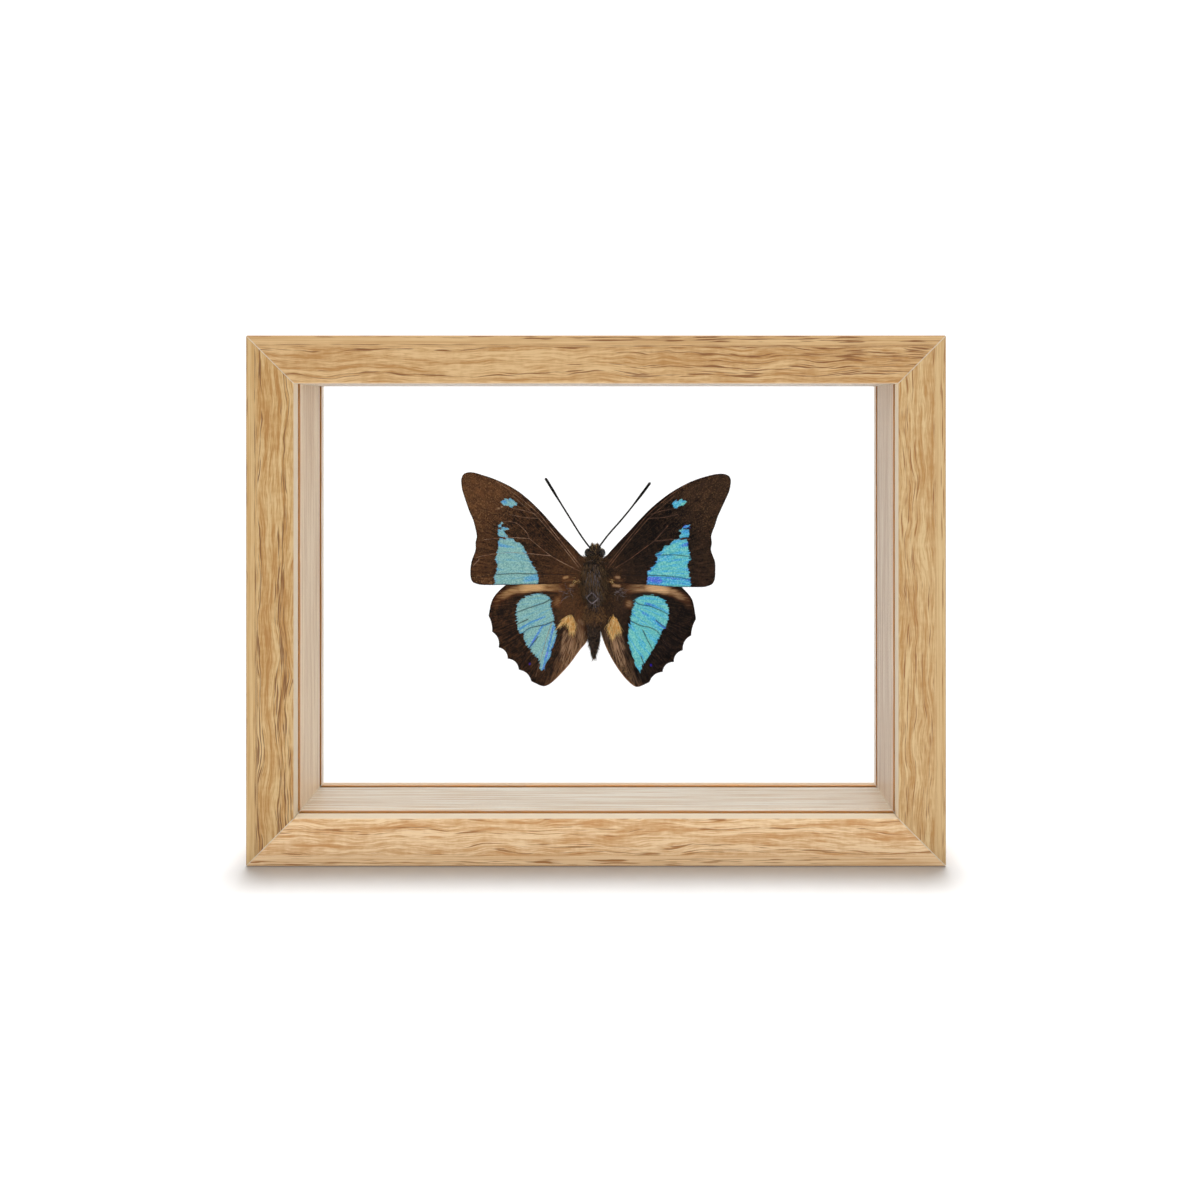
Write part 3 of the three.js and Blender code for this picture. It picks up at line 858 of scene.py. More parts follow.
RIGHT_FOREWING = WingPattern(
    bands=[
        [(25.0, 27.9), (26.0, 28.6), (27.6, 29.0), (29.2, 28.8), (29.8, 28.2), (28.5, 27.2), (26.6, 26.5),
         (25.3, 26.8)],
        [(28.7, 20.3), (29.0, 21.0), (30.6, 21.1), (30.8, 20.0)],
        [(26.9, 19.4), (28.5, 19.7), (30.3, 19.9), (30.4, 18.6), (30.4, 17.0), (27.6, 17.0), (27.5, 17.6),
         (28.1, 17.9), (27.7, 18.7)],
        [(25.5, 16.3), (27.6, 16.5), (29.7, 16.3), (29.9, 15.1), (30.2, 13.8), (30.5, 12.2), (30.8, 10.3),
         (30.2, 8.7), (30.1, 7.4), (30.5, 5.4), (30.9, 3.5), (30.9, 1.1), (16.8, 1.4), (17.0, 2.7),
         (17.3, 4.5), (17.0, 5.9), (18.4, 7.4), (19.9, 8.8), (20.3, 10.4), (19.7, 11.7), (21.5, 12.8),
         (22.6, 14.1), (24.4, 14.9)],
    ],
    veins=[
        *COSTAL_VEINS,
        Vein([(6.4, 7.0), (11.5, 10.1), (14.7, 12.5), (17.3, 14.4), (19.5, 16.0)], True, 0.08),
        Vein([(19.5, 16.0), (21.1, 17.9), (23.7, 20.8)], True, 0.06),
        Vein([(19.9, 15.9), (25.0, 16.4), (30.8, 16.5)], True, 0.05),
        Vein([(14.1, 11.1), (19.5, 11.4), (26.0, 11.5), (30.8, 10.9), (34.0, 10.1)], False),
        Vein([(8.5, 5.0), (17.0, 5.0), (22.8, 4.8), (27.6, 4.3), (31.4, 3.5), (34.5, 2.4)], False),
    ],
    strokes=[
        Stroke("pale", [(7.3, 4.3), (8.0, 4.2)], 0.05, 0.8, 0.9),
        Stroke("copper", [(7.2, 4.3), (8.0, 4.2)], 0.05, 0.9, 0.5),
        Stroke("copper", [(5.0, 2.8), (8.5, 2.8)], 0.2, 1.5, 0.26),
        Stroke("hue", [(17.2, 3.6), (20.8, 3.3)], 0.8, 0.9, 1.0),
        Stroke("hue", [(19.0, 3.6), (30.5, 2.9)], 0.7, 1.1, 0.55),
        Stroke("hue", [(24.4, 14.9), (21.5, 12.8), (20.3, 10.4), (18.4, 7.4), (17.4, 5.9)], 0.3, 1.1, 0.58),
        Stroke("hue", [(24.0, 9.0), (30.0, 7.6)], 0.4, 1.6, 0.3),
        Stroke("hue", [(28.7, 20.5), (30.8, 20.4)], 0.5, 0.5, 0.85),
        Stroke("hue", [(28.2, 18.8), (30.2, 18.2)], 0.3, 1.4, 0.4),
        Stroke("hue", [(25.5, 15.2), (29.6, 15.0)], 0.3, 1.4, 0.44),
    ],
)

LEFT_HINDWING = WingPattern(
    bands=[
        [(23.6, -3.2), (21.8, -2.0), (19.5, -1.3), (17.0, -1.1), (15.1, -1.6), (14.0, -2.6), (13.6, -3.5),
         (13.9, -5.1), (13.3, -6.7), (12.7, -9.1), (12.7, -10.3), (12.2, -12.2), (12.1, -14.7), (12.5, -16.7),
         (13.5, -19.2), (14.4, -22.1), (15.5, -24.7), (16.4, -26.1), (17.0, -25.2), (17.2, -23.7),
         (17.5, -22.6), (18.6, -21.3), (19.9, -20.0), (20.7, -18.6), (21.6, -17.3), (22.6, -15.5),
         (22.3, -14.1), (23.7, -13.5), (24.3, -12.8), (24.7, -10.4), (24.9, -8.0), (24.9, -5.4)],
    ],
    veins=[
        Vein([(13.2, -2.4), (14.4, -3.2), (15.7, -4.0), (20.5, -5.6), (24.4, -7.0), (26.9, -8.3),
              (30.6, -11.2)]),
        Vein([(21.1, -9.3), (24.4, -10.9), (28.5, -13.5)]),
        Vein([(11.8, -9.4), (12.8, -9.9), (15.7, -11.1), (18.9, -11.7), (20.8, -12.2), (22.4, -13.5),
              (24.4, -16.3), (26.6, -20.2)]),
        Vein([(17.8, -14.8), (18.6, -16.0), (20.5, -18.3), (22.4, -22.4), (23.2, -24.6)]),
        Vein([(13.5, -10.3), (15.4, -16.4), (17.0, -22.1), (18.6, -27.6)], True, 0.07),
    ],
    strokes=[
        # Copper along the front edge; its bright middle is a painted sheen
        Stroke("copper", [(6.0, 0.8), (11.5, 0.9), (16.0, 0.9), (21.0, 0.7), (26.0, -0.2), (30.5, -2.6),
                          (33.0, -7.5)], 0.9, 1.7, 0.5, 0.7, 9.0),
        Stroke("copper", [(11.5, 1.2), (17.0, 1.3), (21.0, 1.0), (27.5, -0.4)], 0.6, 2.1, 1.0, 0.2, 7.0),
        Stroke("copper", [(5.4, 1.6), (8.6, 1.4)], 0.1, 0.8, 0.6, 0, 1.2),
        Stroke("copper", [(11.0, -1.6), (12.4, -6.0)], 0.2, 1.8, 0.34, 0, 1.6),
        Stroke("pale", [(20.6, -0.5), (20.2, -0.6)], 0.2, 0.35),
        Stroke("pale", [(17.2, -0.5), (16.9, -0.6)], 0.2, 0.3),
        Stroke("dark_line", [(11.9, -1.1), (15.0, -0.7), (19.0, -0.8), (22.4, -1.6), (25.2, -3.2)],
               0.1, 0.45, 0.8),
        Stroke("hue", [(16.3, -11.2), (18.6, -15.0), (20.5, -18.3)], 0.12, 0.35, 0.78),
        Stroke("hue", [(12.9, -11.6), (14.4, -18.0), (16.3, -25.6)], 0.2, 0.35, 0.78),
        Stroke("hue", [(12.2, -14.7), (13.5, -19.2), (14.6, -22.6)], 0.1, 0.6, 0.62),
        Stroke("hue", [(12.8, -10.2), (15.8, -11.4)], 0.05, 0.3, 0.66),
        Stroke("hue", [(15.6, -8.5), (20.0, -10.2), (23.7, -12.4)], 0.08, 0.35, 0.74),
        Stroke("hue", [(18.6, -14.6), (19.6, -17.6)], 0.1, 0.4, 0.45),
        Stroke("pale", [(9.1, -13.8), (9.6, -18.0), (10.3, -22.1)], 0.3, 0.9, 1.0),
        Stroke("pale", [(7.1, -13.8), (7.5, -17.0), (7.9, -19.7)], 0.4, 1.3, 0.9),
        Stroke("pale", [(5.6, -12.0), (4.0, -16.0), (6.0, -20.0), (8.6, -23.5)], 0.5, 1.7, 0.8),
        Stroke("pale", [(2.8, -13.6), (4.4, -18.4), (8.4, -23.6)], 0.1, 0.5, 0.8),
        Stroke("pale", [(4.6, -9.8), (3.7, -10.9)], 0.3, 0.5, 1.2),
        Stroke("speckle", [(2.6, -15.0), (6.2, -20.5), (10.2, -25.0)], 0.6, 1.2, 1.3),
        Stroke("dark_line", [(10.0, -11.4), (10.6, -13.4)], 0.25, 0.6, 0.9),
        Stroke("violet_spot", [(20.5, -23.5), (20.5, -23.7)], 0.1, 0.25, 0.85),
        Stroke("dark_line", [(29.5, -7.2), (29.4, -7.6)], 0.35, 0.7, 0.8),
    ],
    tuft=[(7.2, -7.6), (8.6, -8.3), (10.6, -9.6), (12.4, -13.2), (11.0, -12.4), (9.9, -11.2), (8.8, -11.4),
          (8.2, -13.4), (6.6, -15.2), (5.7, -13.2), (5.8, -10.6)],
    tuft_root=(7.4, -7.4),
)

RIGHT_HINDWING = WingPattern(
    bands=[
        [(13.8, -2.6), (15.7, -1.8), (17.9, -1.6), (20.2, -1.9), (22.0, -2.8), (23.2, -4.0), (23.9, -5.6),
         (24.1, -7.0), (24.0, -9.0), (23.6, -10.7), (22.1, -13.0), (21.2, -14.3), (20.3, -16.3),
         (19.4, -18.4), (18.6, -19.5), (17.3, -21.8), (16.2, -23.1), (15.5, -24.5), (14.7, -26.4),
         (13.8, -25.0), (12.8, -22.4), (11.9, -19.5), (11.1, -17.0), (10.9, -14.4), (11.3, -11.5),
         (11.7, -9.3), (12.4, -6.4), (13.0, -4.8), (13.0, -3.5)],
    ],
    veins=[
        Vein([(12.5, -2.9), (14.4, -4.5), (17.9, -5.1), (21.1, -6.4), (23.7, -7.7), (26.0, -9.0)]),
        Vein([(19.9, -9.6), (21.8, -11.2), (24.4, -12.8), (26.4, -14.8)]),
        Vein([(11.2, -9.5), (11.9, -9.9), (15.1, -11.4), (17.9, -11.9), (20.2, -13.1), (21.8, -15.1),
              (23.4, -17.9)]),
        Vein([(15.7, -12.8), (17.0, -15.6), (18.6, -18.6), (19.6, -20.6)]),
        Vein([(15.1, -21.1), (16.0, -23.7), (17.3, -27.2)]),
    ],
    strokes=[
        # Copper along the front edge; its bright middle is a painted sheen
        Stroke("copper", [(6.5, 0.7), (11.0, 0.6), (16.0, 0.6), (21.5, 0.2), (25.5, -0.8), (29.5, -3.0),
                          (32.0, -7.5)], 0.9, 1.6, 0.48, 0.7, 9.0),
        Stroke("copper", [(13.0, 0.8), (18.0, 0.9), (22.0, 0.4), (27.5, -1.2)], 0.5, 2.0, 1.0, 0.2, 6.5),
        Stroke("copper", [(5.0, 1.6), (9.4, 1.2)], 0.1, 0.8, 0.6, 0, 1.4),
        Stroke("copper", [(11.5, -2.4), (11.0, -6.4)], 0.2, 1.8, 0.42, 0, 1.6),
        Stroke("dark_line", [(12.5, -1.6), (16.0, -1.0), (20.0, -1.1), (23.0, -2.3), (25.0, -4.4)],
               0.1, 0.45, 0.8),
        Stroke("hue", [(16.6, -4.4), (20.0, -5.4), (23.6, -7.0)], 0.1, 0.7, 0.66),
        Stroke("hue", [(15.6, -7.4), (19.0, -9.4), (23.0, -12.4)], 0.1, 0.5, 0.7),
        Stroke("hue", [(18.6, -8.6), (22.4, -11.0)], 0.05, 0.35, 0.62),
        Stroke("hue", [(11.4, -11.5), (12.8, -7.0)], 0.3, 0.8, 0.34),
        Stroke("hue", [(14.6, -24.4), (14.8, -26.4)], 0.2, 0.6, 0.5),
        Stroke("pale", [(6.4, -15.6), (7.4, -19.0), (9.0, -23.0)], 0.5, 1.6, 1.0),
        Stroke("pale", [(8.4, -14.6), (9.2, -18.6)], 0.2, 1.1, 0.9),
        Stroke("speckle", [(5.0, -18.0), (8.0, -24.0), (11.0, -27.5)], 0.6, 1.4, 1.2),
        Stroke("violet_spot", [(18.3, -23.9), (18.3, -24.1)], 0.1, 0.25, 0.85),
    ],
    tuft=[(6.1, -7.8), (7.4, -9.4), (8.7, -11.7), (9.1, -14.4), (7.7, -14.2), (5.9, -16.4), (4.5, -13.9),
          (3.9, -12.2), (5.0, -10.0)],
    tuft_root=(6.1, -7.4),
)


def new_tree(name: str, inputs: dict[str, str]) -> tuple[bpy.types.NodeTree, bpy.types.Node]:
    """Starts a Geometry Nodes tree with a geometry input and output.

    Args:
        name: The tree's name.
        inputs: Each further input's name against its socket type.

    Returns:
        The tree and its input node.
    """
    tree = bpy.data.node_groups.new(name, "GeometryNodeTree")
    tree.interface.new_socket("Geometry", in_out="INPUT", socket_type="NodeSocketGeometry")
    for label, kind in inputs.items():
        tree.interface.new_socket(label, in_out="INPUT", socket_type=kind)
    tree.interface.new_socket("Geometry", in_out="OUTPUT", socket_type="NodeSocketGeometry")
    return tree, add_node(tree, "NodeGroupInput")


def end_tree(tree: bpy.types.NodeTree, geometry: Socket, material: Socket) -> None:
    """Ends a tree in Realize Instances and Set Material.

    Args:
        tree: The tree.
        geometry: The output socket of its shapes.
        material: The output socket of their finish.
    """
    real = add_node(tree, "GeometryNodeRealizeInstances", {0: geometry})
    smooth = add_node(tree, "GeometryNodeSetShadeSmooth", {0: real.outputs[0]})
    dressed = add_node(tree, "GeometryNodeSetMaterial", {0: smooth.outputs[0], 2: material})
    add_node(tree, "NodeGroupOutput", {0: dressed.outputs[0]})


def fur_tree() -> bpy.types.NodeTree:
    """Hair on a surface: tapered three-sided blades, thick where the attribute coat is high.

    Each blade leans along the attribute comb. Density is in blades for each square metre.

    Returns:
        The tree.
    """
    tree, given = new_tree("fur", {
        "Density": "NodeSocketFloat", "Length": "NodeSocketFloat", "Thickness": "NodeSocketFloat",
        "Lift": "NodeSocketFloat", "Spread": "NodeSocketFloat", "Bend": "NodeSocketFloat",
        "Seed": "NodeSocketInt", "Material": "NodeSocketMaterial"})
    value = given.outputs
    coat = add_node(tree, "GeometryNodeInputNamedAttribute", {0: "coat"}, data_type="FLOAT")
    density = add_node(tree, "ShaderNodeMath", {0: coat.outputs[0], 1: value["Density"]},
                       operation="MULTIPLY")
    roots = add_node(tree, "GeometryNodeDistributePointsOnFaces", {
        "Mesh": value["Geometry"], "Density": density.outputs[0], "Seed": value["Seed"]})
    comb = add_node(tree, "GeometryNodeInputNamedAttribute", {0: "comb"}, data_type="FLOAT_VECTOR")
    lift = add_node(tree, "ShaderNodeVectorMath", {0: roots.outputs["Normal"], "Scale": value["Lift"]},
                    operation="SCALE")
    stray = add_node(tree, "FunctionNodeRandomValue", {0: (-1, -1, -1), 1: (1, 1, 1), "Seed": value["Seed"]},
                     data_type="FLOAT_VECTOR")
    stray = add_node(tree, "ShaderNodeVectorMath", {0: stray.outputs[0], "Scale": value["Spread"]},
                     operation="SCALE")
    way = add_node(tree, "ShaderNodeVectorMath", {0: comb.outputs[0], 1: lift.outputs[0]}, operation="ADD")
    way = add_node(tree, "ShaderNodeVectorMath", {0: way.outputs[0], 1: stray.outputs[0]}, operation="ADD")
    spin = add_node(tree, "FunctionNodeRandomValue", {0: (0, 0, 0), 1: (0, 0, 2 * math.pi), "Seed": 7},
                    data_type="FLOAT_VECTOR")
    turn = add_node(tree, "FunctionNodeAlignRotationToVector", {0: spin.outputs[0], 2: way.outputs[0]},
                    axis="Z")
    size = add_node(tree, "FunctionNodeRandomValue", {2: 0.55, 3: 1.15, "Seed": value["Seed"]},
                    data_type="FLOAT")
    size = add_node(tree, "ShaderNodeMath", {0: size.outputs[1], 1: value["Length"]}, operation="MULTIPLY")
    tip = add_node(tree, "ShaderNodeCombineXYZ", {0: value["Bend"], 2: 1.0})
    spine = add_node(tree, "GeometryNodeCurveQuadraticBezier", {
        "Resolution": 3, "Start": (0, 0, 0), "Middle": (0, 0, 0.55), "End": tip.outputs[0]})
    place = add_node(tree, "GeometryNodeSplineParameter")
    taper = add_node(tree, "ShaderNodeMapRange", {0: place.outputs[0], 3: 1.0, 4: 0.2})
    thin = add_node(tree, "ShaderNodeMath", {0: value["Thickness"], 1: value["Length"]}, operation="DIVIDE")
    radius = add_node(tree, "ShaderNodeMath", {0: taper.outputs[0], 1: thin.outputs[0]}, operation="MULTIPLY")
    ring = add_node(tree, "GeometryNodeCurvePrimitiveCircle", {"Resolution": 3, "Radius": 0.5})
    blade = add_node(tree, "GeometryNodeCurveToMesh", {
        "Curve": spine.outputs[0], "Profile Curve": ring.outputs[0], "Scale": radius.outputs[0],
        "Fill Caps": True})
    coated = add_node(tree, "GeometryNodeInstanceOnPoints", {
        "Points": roots.outputs[0], "Instance": blade.outputs[0], "Rotation": turn.outputs[0],
        "Scale": size.outputs[0]})
    end_tree(tree, coated.outputs[0], value["Material"])
    return tree


def limb_tree() -> bpy.types.NodeTree:
    """Round limbs along lines of edges, as thick as their attribute girth, closed at both ends.

    Returns:
        The tree.
    """
    tree, given = new_tree("limbs", {"Sides": "NodeSocketInt", "Material": "NodeSocketMaterial"})
    value = given.outputs
    line = add_node(tree, "GeometryNodeMeshToCurve", {0: value["Geometry"]})
    girth = add_node(tree, "GeometryNodeInputNamedAttribute", {0: "girth"}, data_type="FLOAT")
    ring = add_node(tree, "GeometryNodeCurvePrimitiveCircle", {"Resolution": value["Sides"], "Radius": 1.0})
    limb = add_node(tree, "GeometryNodeCurveToMesh", {
        "Curve": line.outputs[0], "Profile Curve": ring.outputs[0], "Scale": girth.outputs[0],
        "Fill Caps": True})
    end_tree(tree, limb.outputs[0], value["Material"])
    return tree


def grow(base: bpy.types.Object, tree: bpy.types.NodeTree, name: str, values: dict) -> bpy.types.Object:
    """Runs a tree on a copy of an object's mesh and keeps the result as a plain mesh.

    Args:
        base: The object whose mesh the tree works on.
        tree: The Geometry Nodes tree.
        name: The new piece's name.
        values: Each input's name against its value.

    Returns:
        The new piece.
    """
    made = in_scene(name, base.data.copy())
    modifier = made.modifiers.new(tree.name, "NODES")
    modifier.node_group = tree
    for item in tree.interface.items_tree:
        if item.item_type == "SOCKET" and item.in_out == "INPUT" and item.name in values:
            modifier[item.identifier] = values[item.name]
    return bake(made)


def draw_limbs(name: str, lines: list[tuple[np.ndarray, np.ndarray]], tree: bpy.types.NodeTree,
               material: bpy.types.Material, sides: int) -> bpy.types.Object:
    """Makes limbs from lines of points.

    Args:
        name: The piece's name.
        lines: For each limb its points in metres and its radius at each of them.
        tree: The limb tree.
        material: The limbs' finish.
        sides: Sides of each limb's section.

    Returns:
        The limbs as one piece.
    """
    mesh = bpy.data.meshes.new(name + "_line")
    points, edges, girths = [], [], []
    for line, radii in lines:
        first = len(points)
        points.extend(tuple(map(float, p)) for p in line)
        edges.extend((i, i + 1) for i in range(first, first + len(line) - 1))
        girths.extend(radii)
    mesh.from_pydata(points, edges, [])
    base = bpy.data.objects.new(name + "_line", mesh)
    paint(base, "girth", np.array(girths))
    made = grow(base, tree, name, {"Sides": sides, "Material": material})
    bpy.data.objects.remove(base)
    return made


def solid_copy(node: str) -> bpy.types.Mesh:
    """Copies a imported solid's mesh and merges its loose triangles.

    Args:
        node: The solid.

    Returns:
        The copy.
    """
    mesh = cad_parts[node].data.copy()
    shape = bmesh.new()
    shape.from_mesh(mesh)
    bmesh.ops.remove_doubles(shape, verts=shape.verts, dist=0.001 * MM)
    shape.to_mesh(mesh)
    shape.free()
    return mesh


def front_outline(node: str, side: Side) -> Route:
    """The outline of a plate's front face.

    Args:
        node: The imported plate.
        side: The side that its places are measured towards.

    Returns:
        The outline's corners, without those that lie on a straight stretch.
    """
    shape = bmesh.new()
    shape.from_mesh(solid_copy(node))
    shape.normal_update()
    after: dict[int, list[int]] = {}
    for edge in shape.edges:
        fronts = [face.normal.y < -0.7 for face in edge.link_faces]
        if sum(fronts) == 1:
            a, b = (v.index for v in edge.verts)
            after.setdefault(a, []).append(b)
            after.setdefault(b, []).append(a)
    shape.verts.ensure_lookup_table()
    loops, seen = [], set()
    for start in sorted(after):
        if start in seen:
            continue
        loop, here = [], start
        while here is not None:
            seen.add(here)
            loop.append(here)
            here = next((n for n in after[here] if n not in seen), None)
        loops.append(loop)
    longest = max(loops, key=len)
    places = [(side.value * (shape.verts[i].co.x / MM - SPECIMEN_X), shape.verts[i].co.z / MM - SPECIMEN_Z)
              for i in longest]
    shape.free()
    kept = []
    for before, here, nxt in zip(places[-1:] + places, places, places[1:] + places[:1]):
        a, b = np.subtract(here, before), np.subtract(nxt, here)
        if abs(a[0] * b[1] - a[1] * b[0]) > 0.006 * np.linalg.norm(a) * np.linalg.norm(b):
            kept.append(here)
    return kept


def forewing_height(out: np.ndarray) -> np.ndarray:
    """Middle of a forewing's thickness as a place along Y."""
    return FOREWING_Y - FOREWING_BULGE * np.sin(np.pi * np.clip(out / FOREWING_SPAN, 0, 1))


def hindwing_height(out: np.ndarray) -> np.ndarray:
    """Middle of a hindwing's thickness as a place along Y."""
    curl = np.maximum(0, 1 - out / INNER_FOLD_WIDTH)
    bulge = HINDWING_BULGE * np.sin(np.pi * np.clip(out / HINDWING_SPAN, 0, 1))
    return HINDWING_Y - bulge + INNER_FOLD_DEPTH * curl ** 2


def ripples(points: np.ndarray, length: float, seed: int) -> np.ndarray:
    """Irregular shallow waves.

    Args:
        points: Places as rows of two.
        length: About how far apart the waves are.
        seed: Which waves.

    Returns:
        Heights from -1 to 1.
    """
    random = np.random.default_rng(seed)
    total = np.zeros(len(points))
    for _ in range(7):
        angle, phase = random.uniform(0, 2 * math.pi, 2)
        pitch = length * random.uniform(0.7, 1.5)
        total += np.sin((points @ (math.cos(angle), math.sin(angle))) * 2 * math.pi / pitch + phase)
    return total / 7


@dataclass
class Wing:
    """One wing: a thin scaled sheet on its veins, in place of its packed plate."""

    side: Side
    pair: str
    pattern: WingPattern
    finish: WingScales
    root: Place
    grid: float = 0.27
    sheet: float = 0.14
    ridge: float = 0.05
    ridge_width: float = 0.3
    wrinkle: float = 0.1
    wrinkle_length: float = 7.5
    calm: Place = (3, 12)  # wrinkles rise from nothing to full between these distances from the root
    fold: float = 0.16
    folds: float = 34  # folds of a hindwing's inner margin, as waves in a full turn round the root
    fold_angles: Place = (0.95, 1.2)
    fold_reach: Place = (6, 11)
    inner_angles: Place = (63, 72)
    join: float = 0.8
    ray_circle: float = 20  # distance from the root at which the rays' widths are true
    disc: Place = (20, 19)
    tip: Place = (40, 34)
    curls: Place = (7.8, -0.9)
    cluster: Place = (5.2, 2.9)
    tuft_reach: float = 1.3

    @property
    def node(self) -> str:
        """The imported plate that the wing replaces."""
        return f"{self.pair}_{self.side.word}"

    def height(self, points: np.ndarray) -> np.ndarray:
        """Place along Y of the upper surface, with its wrinkles.

        Args:
            points: Places as rows of (out, up).

        Returns:
            Heights in millimetres; smaller is nearer to the front.
        """
        flat = forewing_height if self.pair == "forewing" else hindwing_height
        from_root = np.linalg.norm(points - self.root, axis=1)
        waves = self.wrinkle * soft_step(from_root, *self.calm)
        waves *= ripples(points, self.wrinkle_length, 11 + self.side.value)
        y = flat(points[:, 0]) - self.sheet / 2 + waves
        for vein in self.pattern.veins:
            gap, _ = near_route(points, vein.route)
            y -= self.ridge * np.exp(-(gap / self.ridge_width) ** 2)
        if self.pair == "hindwing":
            angle = np.arctan2(points[:, 1] - self.root[1], points[:, 0] - self.root[0])
            fold_zone = soft_step(-angle, *self.fold_angles) * soft_step(from_root, *self.fold_reach)
            y += self.fold * fold_zone * np.sin(angle * self.folds)
        return y

    def to_frame(self, points: np.ndarray, y: np.ndarray) -> np.ndarray:
        """Turns places on the wing into points of the frame in metres."""
        x = SPECIMEN_X + self.side.value * points[:, 0]
        return np.stack([x, y, SPECIMEN_Z + points[:, 1]], axis=1) * MM

    def painted(self, points: np.ndarray, margin: np.ndarray) -> dict[str, np.ndarray]:
        """Works out every painted attribute.

        Args:
            points: Places as rows of (out, up).
            margin: Distance of each place from the wing's edge.

        Returns:
            Each attribute's name against its values.
        """
        values = {name: np.zeros(len(points)) for name in PAINTS}
        from_root = np.linalg.norm(points - self.root, axis=1)
        warm = 0.16 if self.side is Side.LEFT else 0.0
        at_edge = soft_step(-margin, -0.5, -0.12)
        values["dark_line"] += 0.75 * at_edge
        if self.pair == "forewing":
            disc = np.linalg.norm((points - self.disc) * (1, 1.1), axis=1)
            tip = np.linalg.norm(points - self.tip, axis=1)
            near_tip = soft_step(-tip, -26, -6)
            values["tone"] += 0.1 + warm + 0.42 * soft_step(disc, 7, 20) + 0.3 * near_tip
            values["speckle"] += (0.4 + warm) * near_tip + 0.3 * warm + 0.06
        else:
            values["tone"] += 0.14 + warm / 2 + 0.5 * soft_step(-from_root, -17, -6)
            values["speckle"] += 0.3 * soft_step(-from_root, -12, -4)
            angle = np.degrees(np.arctan2(points[:, 1] - self.root[1], points[:, 0] - self.root[0]))
            inner = soft_step(-angle, *self.inner_angles)
            values["tone"] += 0.4 * inner
            values["pale"] += 0.34 * inner * soft_step(from_root, 8, 15)
            values["dark_line"] -= 0.75 * inner * at_edge
            values["copper"] += 0.5 * inner * at_edge * soft_step(from_root, 8, 15)
        for stroke in self.pattern.strokes:
            values[stroke.paint] = np.maximum(values[stroke.paint], stroke.cover(points))
        for vein in self.pattern.veins:
            gap, along = near_route(points, vein.route)
            cover = 0.75 * soft_step(-gap, -0.3, -0.06) * (1 - 0.5 * along)
            line = "tan_line" if vein.pale else "dark_line"
            values[line] = np.maximum(values[line], cover * (0.15 if vein.pale else 1))
        values["blue_mm"] = np.max([inside_outline(points, band) for band in self.pattern.bands], axis=0)
        ground_hue = 0.2 if self.node == "forewing_right" else 0.1
        band_hue = ground_hue + 0.2 * soft_step(-values["blue_mm"], -0.7, -0.1)
        values["hue"] = np.maximum(values["hue"], band_hue)
        values["under_line"] = 0.8 * np.exp(-((from_root - 22 - 1.2 * ripples(points, 9, 5)) / 0.5) ** 2)
        return values

    def surface(self) -> bpy.types.Object:
        """Builds the sheet: the plate's outline filled with fine triangles, painted, with a thickness.

        Returns:
            The wing.
        """
        edge = smooth_route(front_outline(self.node, self.side), self.grid, closed=True)
        # The plate keeps clear of the body, and the real wing joins it
        by_body = soft_step(-edge[:, 0], -4.6, -3.2) * soft_step(edge[:, 1], -15, -9)
        edge[:, 0] -= self.join * by_body
        low, high = edge.min(0), edge.max(0)
        random = np.random.default_rng(3)
        columns, rows = np.meshgrid(np.arange(low[0], high[0], self.grid),
                                    np.arange(low[1], high[1], self.grid * 0.866))
        columns[1::2] += self.grid / 2
        inner = np.stack([columns.ravel(), rows.ravel()], axis=1)
        inner += random.uniform(-0.12, 0.12, inner.shape) * self.grid
        outline = [tuple(p) for p in edge]
        inner = inner[inside_outline(inner, outline) > self.grid * 0.6]
        places = [Vector(p) for p in np.concatenate([edge, inner])]
        count = len(edge)
        filled = delaunay_2d_cdt(places, [(i, (i + 1) % count) for i in range(count)], [list(range(count))],
                                 1, 1e-6)
        points = np.array([tuple(v) for v in filled[0]])
        faces = [list(face) for face in filled[2]]
        if self.side is Side.LEFT:
            faces = [face[::-1] for face in faces]
        made = make_object(self.node + "_scaled", self.to_frame(points, self.height(points)), faces,
                           [self.finish.material(), UNDERSIDE])
        margin = inside_outline(points, outline)
        for name, values in self.painted(points, margin).items():
            paint(made, name, values)
        self.lay_rays(made, points)
        shade_smooth(made)
        thickness = made.modifiers.new("sheet", "SOLIDIFY")
        thickness.thickness = self.sheet * MM
        thickness.offset = -1
        thickness.material_offset = 1
        thickness.material_offset_rim = 0
        return bake(made)

    def lay_rays(self, made: bpy.types.Object, points: np.ndarray) -> None:
        """Gives a mesh the UV map rays, in millimetres across the rays and out from the root.

        Args:
            made: The mesh object.
            points: Its vertices as rows of (out, up).
        """
        offset = points - self.root
        across = np.arctan2(offset[:, 1], offset[:, 0]) * self.ray_circle
        rays = np.stack([across, np.linalg.norm(offset, axis=1)], axis=1)
        layer = made.data.uv_layers.new(name="rays")
        corners = np.zeros(len(made.data.loops), np.int32)
        made.data.loops.foreach_get("vertex_index", corners)
        layer.data.foreach_set("uv", rays[corners].astype(np.float32).ravel())

    def veins(self, tree: bpy.types.NodeTree) -> list[bpy.types.Object]:
        """Builds the raised veins, the pale and the dark ones as a piece each.

        Args:
            tree: The limb tree.

        Returns:
            The pieces.
        """
        made = []
        tan = VEIN_TAN if self.side is Side.LEFT else VEIN_RUST
        for pale, word, finish in ((True, "tan", tan), (False, "dark", VEIN_DARK)):
            lines = []
            for vein in self.pattern.veins:
                if vein.pale != pale:
                    continue
                route = smooth_route(vein.route, 0.8)
                radii = vein.radius * (1 - 0.45 * np.linspace(0, 1, len(route)))
                lines.append((self.to_frame(route, self.height(route) + 0.3 * radii), radii * MM))
            if lines:
                made.append(draw_limbs(f"{self.node}_{word}_veins", lines, tree, finish.material(), 6))
        return made

